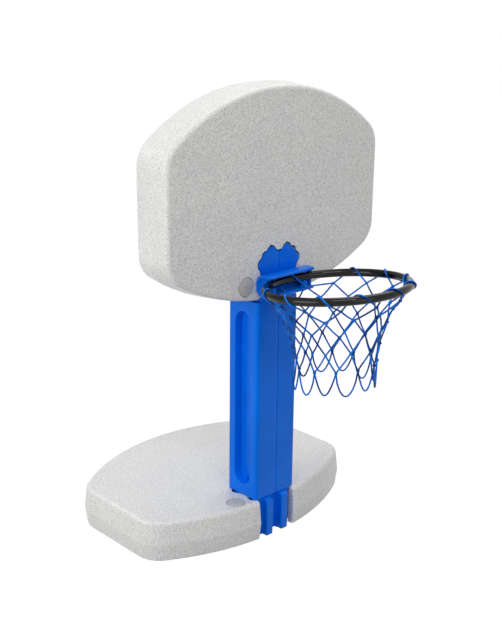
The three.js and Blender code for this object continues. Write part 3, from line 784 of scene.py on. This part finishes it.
def sweep(mesh, path, radius, sides=SWEEP_SIDES, closed=False):
    """Adds a round tube along the path, with U round it and V along it in metres."""
    uv = mesh.loops.layers.uv.verify()
    turn = [2 * math.pi * k / sides for k in range(sides)]
    rings = []
    for point, (side, rise) in zip(path, path_frames(path, closed)):
        spots = [point + radius * (side * math.cos(a) + rise * math.sin(a)) for a in turn]
        rings.append([mesh.verts.new(s) for s in spots])
    count = len(path)
    travelled = 0.0
    for low in range(count if closed else count - 1):
        high = (low + 1) % count
        step = (path[high] - path[low]).length
        for k in range(sides):
            n = (k + 1) % sides
            face = mesh.faces.new((rings[low][k], rings[low][n], rings[high][n], rings[high][k]))
            marks = ((k, 0), (k + 1, 0), (k + 1, 1), (k, 1))
            for loop, (round_step, end) in zip(face.loops, marks):
                loop[uv].uv = (round_step / sides, travelled + end * step)
        travelled += step
    if not closed:
        mesh.faces.new(rings[0])
        mesh.faces.new(rings[-1])


# %% Join, cut and box helpers
def apply_modifiers(piece):
    graph = bpy.context.evaluated_depsgraph_get()
    made = bpy.data.meshes.new_from_object(piece.evaluated_get(graph))
    piece.modifiers.clear()
    piece.data = made


def combine(piece, other, operation):
    """Joins or cuts one object by another with an exact boolean, and removes the other."""
    modifier = piece.modifiers.new("Combine", "BOOLEAN")
    modifier.operation = operation
    modifier.solver = "EXACT"
    modifier.object = other
    apply_modifiers(piece)
    bpy.data.objects.remove(other)


def box_solid(low, high):
    mesh = bmesh.new()
    bmesh.ops.create_cube(mesh, size=1)
    size = Vector(high) - Vector(low)
    middle = (Vector(high) + Vector(low)) / 2
    matrix = Matrix.Translation(middle) @ Matrix.Diagonal((*size, 1))
    bmesh.ops.transform(mesh, matrix=matrix, verts=mesh.verts)
    return finish_mesh(mesh, "cutter")


# %% Fill caps
CAP_FLANGE = 0.004
CAP_SHANK_RADIUS = 0.0178
CAP_SHANK_END = 0.019
CAP_WALL = 0.003
CAP_BORE_RADIUS = CAP_SHANK_RADIUS - CAP_WALL
CAP_EDGE = 0.0006
CAP_CENTRE_RADIUS = 0.001
CAP_SLOT_HALF = Vector((0.007, 0.00065, 0.0015))
THREAD_PITCH = 0.005
THREAD_TURNS = 2.4
THREAD_RADIUS = 0.0009
THREAD_STEPS = 28
THREAD_SIDES = 6


def cap_disc(name):
    """A cap in its own frame: its top at height zero, its shank downwards."""
    edge = rounded_edge(CAP_EDGE, SMALL_EDGE_STEPS)
    profile = [(CAP_CENTRE_RADIUS, 0)]
    profile += [(CAP_RADIUS - inset, -down) for inset, down in edge]
    profile += [(CAP_RADIUS, -CAP_FLANGE), (CAP_SHANK_RADIUS, -CAP_FLANGE)]
    profile += [(CAP_SHANK_RADIUS, -CAP_SHANK_END), (CAP_BORE_RADIUS, -CAP_SHANK_END)]
    profile += [(CAP_BORE_RADIUS, -CAP_FLANGE - CAP_WALL)]
    mesh = bmesh.new()
    for end in skin_rings(mesh, turn_rings(profile, (0, 0))):
        mesh.faces.new(end)
    cap = finish_mesh(mesh, name)
    combine(cap, box_solid(-CAP_SLOT_HALF, CAP_SLOT_HALF), "DIFFERENCE")
    return cap


def add_thread(cap):
    path = []
    for i in range(int(THREAD_TURNS * THREAD_STEPS) + 1):
        angle = 2 * math.pi * i / THREAD_STEPS
        height = -CAP_SHANK_END + THREAD_RADIUS + THREAD_PITCH * i / THREAD_STEPS
        path.append(Vector((*around(CAP_SHANK_RADIUS, angle), height)))
    mesh = bmesh.new()
    mesh.from_mesh(cap.data)
    sweep(mesh, path, THREAD_RADIUS, THREAD_SIDES)
    settle_faces(mesh)
    mesh.to_mesh(cap.data)
    mesh.free()


def place_cap(name, tank_frame, body, node):
    cap = cap_disc(name)
    add_thread(cap)
    cap.data.transform(tank_frame @ Matrix.Translation((*CAP_PLACE, TANK_THICKNESS)))
    dress(cap, CAP_GREY, "cap_plastic", body, node)


place_cap("base_cap_disc", BASE_FRAME, "base_cap", "base_fill_cap")
place_cap("backboard_cap_disc", BOARD_FRAME, "board_cap", "backboard_fill_cap")

# %% [markdown]
# The post is one rotomoulded piece: a square shaft with a long recess in each side, a lobed head
# that fills the backboard's keyhole and a lobed foot with two ribs that fills the base's. Such a
# piece has no sharp edge anywhere. It could be bevelled edge by edge, but where so many shapes meet
# a bevel breaks. So the solids are joined and cut, remeshed into small even faces, and smoothed a
# little: the smoothing rounds every edge and inner corner as the melting powder does.

# %% Solids from outlines
CORNER_STEPS = 6
ROUND_END_STEPS = 10
ROD_SIDES = 24


def loft_solid(rings):
    mesh = bmesh.new()
    for end in skin_rings(mesh, rings):
        fill_flat(mesh, [end])
    return finish_mesh(mesh, "solid")


def prism_solid(outline, low, high, matrix=Matrix.Identity(4)):
    made = loft_solid([at_height(outline, z) for z in (low, high)])
    made.data.transform(matrix)
    return made


def rounded_rectangle(x0, x1, y0, y1, radius):
    right, left, lower, upper = x1 - radius, x0 + radius, y0 + radius, y1 - radius
    centres = [(right, lower), (right, upper), (left, upper), (left, lower)]
    quarter = math.pi / 2
    outline = []
    for i, (x, y) in enumerate(centres, start=-1):
        outline += arc_points(x, y, radius, i * quarter, (i + 1) * quarter, CORNER_STEPS)
    return outline


def stadium(half, low, high):
    upper = arc_points(0, high - half, half, 0, math.pi, ROUND_END_STEPS)
    return upper + arc_points(0, low + half, half, math.pi, 2 * math.pi, ROUND_END_STEPS)


def rod_solid(radius, start, end):
    """A round rod between two points."""
    axis = Vector(end) - Vector(start)
    turn = axis.to_track_quat("Z", "Y").to_matrix().to_4x4()
    outline = circle_points(0, 0, radius, ROD_SIDES)
    return prism_solid(outline, 0, axis.length, Matrix.Translation(start) @ turn)


def fuse(name, piece, parts, cutters, voxel, passes):
    """Joins solids to a piece and cuts others out. An even remesh and a smoothing round it."""
    for operation, solids in (("UNION", parts), ("DIFFERENCE", cutters)):
        for solid in solids:
            combine(piece, solid, operation)
    remesh = piece.modifiers.new("Remesh", "REMESH")
    remesh.mode = "VOXEL"
    remesh.voxel_size = voxel
    smooth = piece.modifiers.new("Smooth", "SMOOTH")
    smooth.factor = 0.5
    smooth.iterations = passes
    apply_modifiers(piece)
    for face in piece.data.polygons:
        face.use_smooth = True
    piece.name = name
    return piece


# %% Shaft and its recesses
POST_HALF_WIDTH = 0.076
POST_EDGE_RADIUS = 0.008
TOUCH_GAP = 0.0003
POST_FOOT = TANK_THICKNESS + TOUCH_GAP
SHAFT_FOOT_RADIUS = 0.0045
SHAFT_FOOT_STEPS = 4
SHOULDER_HEIGHT = 0.7113
RECESS_HALF_WIDTH = 0.032
RECESS_MARGIN = 0.035
RECESS_DEPTH = 0.024
RECESS_DRAFT = 0.005
OVERRUN = 0.005


def shaft_rings():
    """The shaft, whose foot turns in with a small radius, so that it throws a line of shade."""
    rings = []
    for inset, rise in rounded_edge(SHAFT_FOOT_RADIUS, SHAFT_FOOT_STEPS):
        half = POST_HALF_WIDTH - inset
        corner = POST_EDGE_RADIUS - inset
        outline = rounded_rectangle(-half, half, POST_FRONT + inset, POST_BACK - inset, corner)
        rings.append(at_height(outline, POST_FOOT + rise))
    return rings + [at_height(outline, SHOULDER_HEIGHT)]


def side_recess(side):
    """A drafted pocket with round ends, from outside the post's side to the pocket's floor."""
    low, high = POST_FOOT + RECESS_MARGIN, SHOULDER_HEIGHT - RECESS_MARGIN
    rings = []
    for depth in (-OVERRUN, RECESS_DEPTH):
        inset = RECESS_DRAFT * depth / RECESS_DEPTH
        outline = stadium(RECESS_HALF_WIDTH - inset, low + inset, high - inset)
        x = side * (POST_HALF_WIDTH - depth)
        rings.append([(x, POST_MIDDLE + across, z) for across, z in outline])
    return loft_solid(rings)


# %% [markdown]
# Head and foot are drawn with the keyhole's own outline, a little smaller, so they fit it. In front
# the foot shows two ribs with slanting tops, a deep valley between them and a strip set back on
# either side.

# %% Head and foot
PLUG_GAP = 0.0025
PLUG_NECK_GAP = 0.005
PLUG_SINK = 0.008
FOOT_GAP = 0.001
FOOT_RISE = 0.002
FOOT_TOP = TANK_THICKNESS + FOOT_RISE
FOOT_HALF_WIDTH = 0.0635
FOOT_SETBACK = 0.006
RIB_WIDTH = 0.026
RIB_SPACING = 0.060
RIB_REACH = 0.012
RIB_CORNER = 0.0035
RIB_DROP = 0.002
RIB_TOP = TANK_THICKNESS - RIB_DROP
RIB_TAPER = 0.005


def key_outline(foot, gap):
    """The keyhole's outline with a gap all round, standing on a straight foot."""
    return mirrored([(NECK_HALF_WIDTH - gap, foot)] + key_side(-gap))


def foot_rib(side):
    left, right = (side * RIB_SPACING / 2 + half for half in (-RIB_WIDTH / 2, RIB_WIDTH / 2))
    front, rear = POST_FRONT - RIB_REACH, POST_FRONT + RIB_REACH
    full = rounded_rectangle(left, right, front, rear, RIB_CORNER)
    back = [(x, y + RIB_REACH) for x, y in full]
    levels = ((full, FOOT_GAP), (full, RIB_TOP - RIB_TAPER), (back, RIB_TOP))
    return loft_solid([at_height(ring, z) for ring, z in levels])


def head_and_foot():
    neck_foot = SHOULDER_HEIGHT - BOARD_HEIGHT - 2 * OVERRUN
    head = key_outline(neck_foot, PLUG_GAP)
    plug = key_outline(LOBE_CENTRE / 2, PLUG_GAP)
    plug_neck = key_outline(LOBE_CENTRE / 2, PLUG_NECK_GAP)
    half, front = FOOT_HALF_WIDTH, POST_FRONT + FOOT_SETBACK
    foot = rounded_rectangle(-half, half, front, POST_MIDDLE, RIB_CORNER)
    return [
        prism_solid(head, 0, TANK_THICKNESS, BOARD_FRAME),
        prism_solid(plug, FOOT_GAP, TANK_THICKNESS - PLUG_SINK, BASE_FRAME),
        prism_solid(plug_neck, FOOT_GAP, FOOT_TOP, BASE_FRAME),
        prism_solid(foot, FOOT_GAP, FOOT_TOP),
        foot_rib(-1),
        foot_rib(1),
    ]


# %% Post
PARTING_WIDTH = 0.006
PARTING_DEPTH = 0.002
VALLEY_WIDTH = 0.030
VALLEY_DEPTH = 0.013
DRAIN_RADIUS = 0.003
DRAIN_HEIGHT = 0.044
PLATE_FOOT = 0.765
PLATE_BED_DEPTH = 0.009
POST_VOXEL = 0.0015
POST_PASSES = 2


def front_cut(half_width, low, high, depth):
    """A box that cuts into the post's front."""
    start = (-half_width, POST_FRONT - OVERRUN, low)
    return box_solid(start, (half_width, POST_FRONT + depth, high))


def post_cuts():
    top = cad_box[1].z
    drain = POST_FOOT + DRAIN_HEIGHT
    drain_start = (-POST_HALF_WIDTH - OVERRUN, POST_MIDDLE, drain)
    return [
        side_recess(-1),
        side_recess(1),
        front_cut(LOBE_RADIUS, PLATE_FOOT, top, PLATE_BED_DEPTH),
        front_cut(PARTING_WIDTH / 2, POST_FOOT, top, PARTING_DEPTH),
        front_cut(VALLEY_WIDTH / 2, -OVERRUN, RIB_TOP, VALLEY_DEPTH),
        rod_solid(DRAIN_RADIUS, drain_start, (0, POST_MIDDLE, drain)),
    ]


shaft = loft_solid(shaft_rings())
post = fuse("post_shell", shaft, head_and_foot(), post_cuts(), POST_VOXEL, POST_PASSES)
dress(post, BLUE, "blue_plastic", "post", "post")

# %% [markdown]
# The face of the head has a crisp lobed edge and a fine groove down its middle. Remeshing would
# blur both, so the face is a thin plate of its own, let into the bed that was cut for it.

# %% Head plate
PLATE_DEPTH = 0.010
PLATE_EDGE = 0.0008
GROOVE_HALF_WIDTH = 0.0022
GROOVE_DEPTH = 0.0012


def make_head_plate():
    rings = []
    for depth, inset in [(PLATE_DEPTH, 0)] + rounded_edge(PLATE_EDGE, SMALL_EDGE_STEPS):
        outline = key_outline(PLATE_FOOT - BOARD_HEIGHT, PLUG_GAP + inset)
        rings.append(at_height(outline, TANK_THICKNESS - depth))
    plate = loft_solid(rings)
    plate.data.transform(BOARD_FRAME)
    low, high = PLATE_FOOT - OVERRUN, cad_box[1].z
    combine(plate, front_cut(GROOVE_HALF_WIDTH, low, high, GROOVE_DEPTH), "DIFFERENCE")
    plate.name = "post_head_plate"
    for face in plate.data.polygons:
        face.use_smooth = False
    return plate


dress(make_head_plate(), BLUE, "blue_plastic", "post", "post")

# %% [markdown]
# The bracket is a C-shaped channel, open to the front, that clasps the rear of the rim. Two saddle
# ribs carry the tube near its ends, and bosses take the screws. It is made in the same way as the
# post, at a finer grain because its lips are thin.

# %% Where the rim lies
RIM_RADIUS = 0.187
RIM_TUBE_RADIUS = 0.011
RIM_REAR_REACH = 0.027
RIM_REAR_HEIGHT = 0.770
RIM_TILT = math.radians(6.3)
rim_y = POST_FRONT - RIM_REAR_REACH - RIM_RADIUS * math.cos(RIM_TILT)
rim_z = RIM_REAR_HEIGHT + RIM_RADIUS * math.sin(RIM_TILT)
RIM_CENTRE = Vector((0, rim_y, rim_z))
RIM_FRAME = Matrix.Translation(RIM_CENTRE) @ Matrix.Rotation(-RIM_TILT, 4, "X")
print("rim centre", [round(c, 4) for c in RIM_CENTRE])

# %% Channel and the room for the tube
BRACKET_HALF_HEIGHT = 0.031
BRACKET_REACH = 0.050
BRACKET_WALL = 0.009
BRACKET_CORNER = 0.025
BRACKET_HEIGHT = 0.765
BACK_STEPS = 10
LIP_STEPS = 8
RIM_ROOM_STEPS = 96


def channel_outline():
    """The C section, with depth forwards and height, round at its back and its lips."""
    quarter = math.pi / 2
    inner_corner = BRACKET_CORNER - BRACKET_WALL
    lip = BRACKET_WALL / 2
    lip_x, lip_y = BRACKET_REACH - lip, BRACKET_HALF_HEIGHT - lip
    outer_y = BRACKET_HALF_HEIGHT - BRACKET_CORNER
    inner_x = BRACKET_WALL + inner_corner
    inner_y = BRACKET_HALF_HEIGHT - BRACKET_WALL - inner_corner
    upper = arc_points(BRACKET_CORNER, outer_y, BRACKET_CORNER, 2 * quarter, quarter, BACK_STEPS)
    upper += arc_points(lip_x, lip_y, lip, quarter, -quarter, LIP_STEPS)
    upper += arc_points(inner_x, inner_y, inner_corner, quarter, 2 * quarter, LIP_STEPS)
    return upper + [(x, -y) for x, y in reversed(upper)]


def along_bracket(outline, start, end):
    """A prism whose section stands across the bracket, between two places along its length."""
    back = POST_FRONT - TOUCH_GAP
    section = [(back - depth, BRACKET_HEIGHT + height) for depth, height in outline]
    return loft_solid([[(x, y, z) for y, z in section] for x in (start, end)])


def rim_room():
    """The tube's path, a little wider than the tube, opened inwards as a slot."""
    room = RIM_TUBE_RADIUS + TOUCH_GAP
    circle = circle_points(0, 0, RIM_RADIUS, RIM_ROOM_STEPS)
    mesh = bmesh.new()
    sweep(mesh, [Vector((x, y, 0)) for x, y in circle], room, ROD_SIDES, closed=True)
    ring = finish_mesh(mesh, "cutter")
    ring.data.transform(RIM_FRAME)
    return ring, prism_solid(circle, -room, room, RIM_FRAME)


# %% Bracket
BRACKET_HALF_LENGTH = 0.087
SADDLE_THICKNESS = 0.006
SADDLE_SPACING = 0.156
SADDLE_SETBACK = 0.004
BOSS_RADIUS = 0.009
SCREW_SPACING = 0.120
BOLT_SPACING = (0.084, 0.024)
BOLT_HEAD_ROOM = 0.0073
BRACKET_VOXEL = 0.0013
BRACKET_PASSES = 3


def saddle_and_boss(side):
    """The rib across one end of the channel, and the post that the rim's screw goes through."""
    fill = BRACKET_HALF_HEIGHT - BRACKET_WALL / 2
    front = BRACKET_REACH - SADDLE_SETBACK
    web = rounded_rectangle(BRACKET_WALL / 2, front, -fill, fill, BRACKET_WALL)
    centre = side * SADDLE_SPACING / 2
    half = SADDLE_THICKNESS / 2
    x = side * SCREW_SPACING / 2
    drop = RIM_RADIUS - math.sqrt(RIM_RADIUS**2 - x**2)
    y = POST_FRONT - RIM_REAR_REACH - drop * math.cos(RIM_TILT)
    ends = [(x, y, BRACKET_HEIGHT + z) for z in (-fill, fill)]
    return along_bracket(web, centre - half, centre + half), rod_solid(BOSS_RADIUS, *ends)


def bolt_rooms():
    """Round pockets at the channel's back, in which the four bolt heads turn."""
    seat = POST_FRONT - TOUCH_GAP - BRACKET_WALL
    across, up = (spacing / 2 for spacing in BOLT_SPACING)
    for x in (-across, across):
        for z in (BRACKET_HEIGHT - up, BRACKET_HEIGHT + up):
            yield rod_solid(BOLT_HEAD_ROOM, (x, seat - OVERRUN, z), (x, seat, z))


channel = along_bracket(channel_outline(), -BRACKET_HALF_LENGTH, BRACKET_HALF_LENGTH)
ribs = [*saddle_and_boss(-1), *saddle_and_boss(1)]
rooms = [*rim_room(), *bolt_rooms()]
bracket = fuse("bracket_shell", channel, ribs, rooms, BRACKET_VOXEL, BRACKET_PASSES)
dress(bracket, BLUE, "blue_plastic", "post", "rim_bracket")

# %% [markdown]
# The rim is one steel tube bent to a ring and welded at its rear, inside the bracket. A sweep along
# a circle makes it in 160 short steps, fine enough that its highlights run unbroken, and a small
# raised bead at the rear is the weld.

# %% Rim
RIM_STEPS = 160
RIM_SIDES = 28
BEAD_RADIUS = 0.0117
BEAD_HALF_WIDTH = 0.003
BEAD_SHARES = (-1, -0.4, 0.4, 1)


def rim_place(angle):
    return Vector((*around(RIM_RADIUS, angle), 0))


def make_rim():
    mesh = bmesh.new()
    turn = 2 * math.pi / RIM_STEPS
    path = [rim_place(turn * i) for i in range(RIM_STEPS)]
    sweep(mesh, path, RIM_TUBE_RADIUS, RIM_SIDES, closed=True)
    half = BEAD_HALF_WIDTH / RIM_RADIUS
    bead = [rim_place(math.pi / 2 + half * share) for share in BEAD_SHARES]
    sweep(mesh, bead, BEAD_RADIUS, RIM_SIDES)
    rim = finish_mesh(mesh, "rim_tube")
    rim.data.transform(RIM_FRAME)
    return rim


dress(make_rim(), BLACK, "black_paint", "post", "rim")

# %% [markdown]
# The net is lashed to the tube: from each top knot a cord climbs inside the tube, crosses it and
# slants down outside to the next. Only beside the bracket, whose ribs leave no room for it, does a
# cord run straight from knot to knot. Below come rows of knots, each half a mesh round from the row
# above, with loops at the foot. A cloth simulation would let the cords hang freely but would lose
# the knots, so each cord is laid from knot to knot, with a little slack and a seeded wobble that is
# the same every run.

# %% Net points
HITCH_COUNT = 12
ROW_DEPTHS = [0.059, 0.103, 0.152, 0.206]
ROW_RADII = [0.148, 0.130, 0.119, 0.112]
NET_TURN = 0.5
TOP_KNOT = (0.176, 0.027)
REAR_KNOT = (0.157, 0.023)
REAR_KNOTS = (2, 3)
NET_LENGTH = 0.277
NET_TILT_SHARE = 0.7
KNOT_JITTER = (0.05, 0.003, 0.003)
draw = random.Random(7)


def net_point(turn, radius, depth):
    """A place on the net, by its turn counted in hitches, its radius and its depth."""
    angle = 2 * math.pi * turn / HITCH_COUNT
    x, y = around(radius, angle)
    fade = 1 - (1 - NET_TILT_SHARE) * depth / NET_LENGTH
    lean = -y * math.sin(RIM_TILT) * fade
    return Vector((x, RIM_CENTRE.y + y, RIM_CENTRE.z + lean - depth))


def knot_rows():
    """Each knot as its turn, radius and depth. The top knots hold still, the rest stray."""
    rows = [[]]
    for i in range(HITCH_COUNT):
        rows[0].append((i + NET_TURN, *(REAR_KNOT if i in REAR_KNOTS else TOP_KNOT)))
    for number, (radius, depth) in enumerate(zip(ROW_RADII, ROW_DEPTHS), start=1):
        row = []
        for i in range(HITCH_COUNT):
            stray = [draw.uniform(-size, size) for size in KNOT_JITTER]
            turn = i + NET_TURN + number % 2 / 2 + stray[0]
            row.append((turn, radius + stray[1], depth + stray[2]))
        rows.append(row)
    return rows


def knot_at(row, place):
    """A row's knot, also for a place that runs on past the row's end, a turn further round."""
    rounds, index = divmod(place, HITCH_COUNT)
    turn, radius, depth = row[index]
    return turn + HITCH_COUNT * rounds, radius, depth


ROWS = knot_rows()
print("knots", sum(len(row) for row in ROWS))

# %% Cords and loops
CORD_STEPS = 8
SLACK = 0.0025
WOBBLE = 0.0012
LOOP_STEPS = 16
LOOP_STRAY = (-0.014, 0.002)
LOOP_ROUNDNESS = (0.55, 1.0)


def between(start, end, share):
    return [a + (b - a) * share for a, b in zip(start, end)]


def cord_path(start, end):
    """From one knot to another, bulging a little and wandering a little on its way."""
    path = []
    inwards, ripple, downwards = [draw.uniform(-WOBBLE, WOBBLE) for _ in range(3)]
    for i in range(CORD_STEPS + 1):
        t = i / CORD_STEPS
        turn, radius, depth = between(start, end, t)
        sway = math.sin(math.pi * t)
        radius += sway * (inwards - SLACK) + math.sin(2 * math.pi * t) * ripple
        depth += sway * (SLACK + downwards)
        path.append(net_point(turn, radius, depth))
    return path


def loop_path(start, end):
    """A free loop between two knots of the lowest row, hanging as a chain does."""
    path = []
    hang = NET_LENGTH - ROW_DEPTHS[-1] + draw.uniform(*LOOP_STRAY)
    roundness = draw.uniform(*LOOP_ROUNDNESS)
    for i in range(LOOP_STEPS + 1):
        t = i / LOOP_STEPS
        turn, radius, depth = between(start, end, t)
        sag = math.sin(math.pi * t) ** roundness
        path.append(net_point(turn, radius - sag * SLACK, depth + hang * sag))
    return path


# %% Hitches and knots
CORD_RADIUS = 0.0023
HITCH_STEPS = 18
KNOT_RING_RADIUS = 0.0032
KNOT_RING_STEPS = 12
KNOT_CORD_RADIUS = 0.0019
KNOT_LEAN = (0.5, 0.9)


def hitch_path(start, end_turn):
    """From a knot up inside the tube, over it, and slanting down outside to the next knot."""
    turn, radius, depth = start
    reach = RIM_TUBE_RADIUS + CORD_RADIUS
    knot = (radius - RIM_RADIUS, -depth)
    aim = math.atan2(knot[1], knot[0])
    spread = math.acos(reach / math.hypot(*knot))
    wrap = arc_points(0, 0, reach, aim - spread, aim + spread - 2 * math.pi, HITCH_STEPS)
    section = [knot] + wrap + [knot]
    travelled = [0.0]
    for here, there in zip(section, section[1:]):
        travelled.append(travelled[-1] + math.dist(here, there))
    path = []
    for (out, rise), length in zip(section, travelled):
        share = length / travelled[-1]
        angle = 2 * math.pi * (turn + (end_turn - turn) * share) / HITCH_COUNT
        path.append(RIM_FRAME @ Vector((*around(RIM_RADIUS + out, angle), rise)))
    path[0] = net_point(turn, radius, depth)
    path[-1] = net_point(end_turn, radius, depth)
    return path


def knot_rings(centre, turn):
    """Two crossed turns of cord, which is what a tight mesh knot looks like."""
    angle = 2 * math.pi * turn / HITCH_COUNT
    out = Vector((*around(1, angle), 0))
    side = Vector((-math.sin(angle), math.cos(angle), 0))
    up = Vector((0, 0, 1))
    lean = draw.uniform(*KNOT_LEAN)
    for tilt in (-lean, lean):
        first = side * math.cos(tilt) + up * math.sin(tilt)
        ring = []
        for i in range(KNOT_RING_STEPS):
            a = 2 * math.pi * i / KNOT_RING_STEPS
            ring.append(centre + KNOT_RING_RADIUS * (first * math.cos(a) + out * math.sin(a)))
        yield ring


# %% Net
PLAIN_CORDS = (1, 3)
CORD_SHARP_ANGLE = math.radians(80)


def make_net():
    mesh = bmesh.new()
    for number, row in enumerate(ROWS):
        for i, knot in enumerate(row):
            for ring in knot_rings(net_point(*knot), knot[0]):
                sweep(mesh, ring, KNOT_CORD_RADIUS, closed=True)
            if number + 1 == len(ROWS):
                sweep(mesh, loop_path(knot, knot_at(row, i + 1)), CORD_RADIUS)
                continue
            for step in (number % 2, number % 2 - 1):
                below = knot_at(ROWS[number + 1], i + step)
                sweep(mesh, cord_path(knot, below), CORD_RADIUS)
    for i, knot in enumerate(ROWS[0]):
        if i in PLAIN_CORDS:
            sweep(mesh, cord_path(knot, knot_at(ROWS[0], i + 1)), CORD_RADIUS)
        else:
            sweep(mesh, hitch_path(knot, knot[0] + 1), CORD_RADIUS)
    return finish_mesh(mesh, "net_cords", CORD_SHARP_ANGLE)


dress(make_net(), CORD, "blue_cord", "post", "net")

# %% [markdown]
# The small fittings keep the CAD's own shapes, which are already as the real ones are. They only
# need their finishes.

# %% Fittings
FITTING_FINISHES = {"bolt": STEEL, "screw": STEEL, "insert": BRASS, "seal": RUBBER}
for node_name, node_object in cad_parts.items():
    for kind, finish in FITTING_FINISHES.items():
        if kind in node_name:
            node_object.data.materials.clear()
            node_object.data.materials.append(finish)
            print(node_name, "is", finish.name)

# %% Finish
boxes = {"cad": cad_box, "visual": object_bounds()}
{name: [list(c) for c in box] for name, box in boxes.items()}
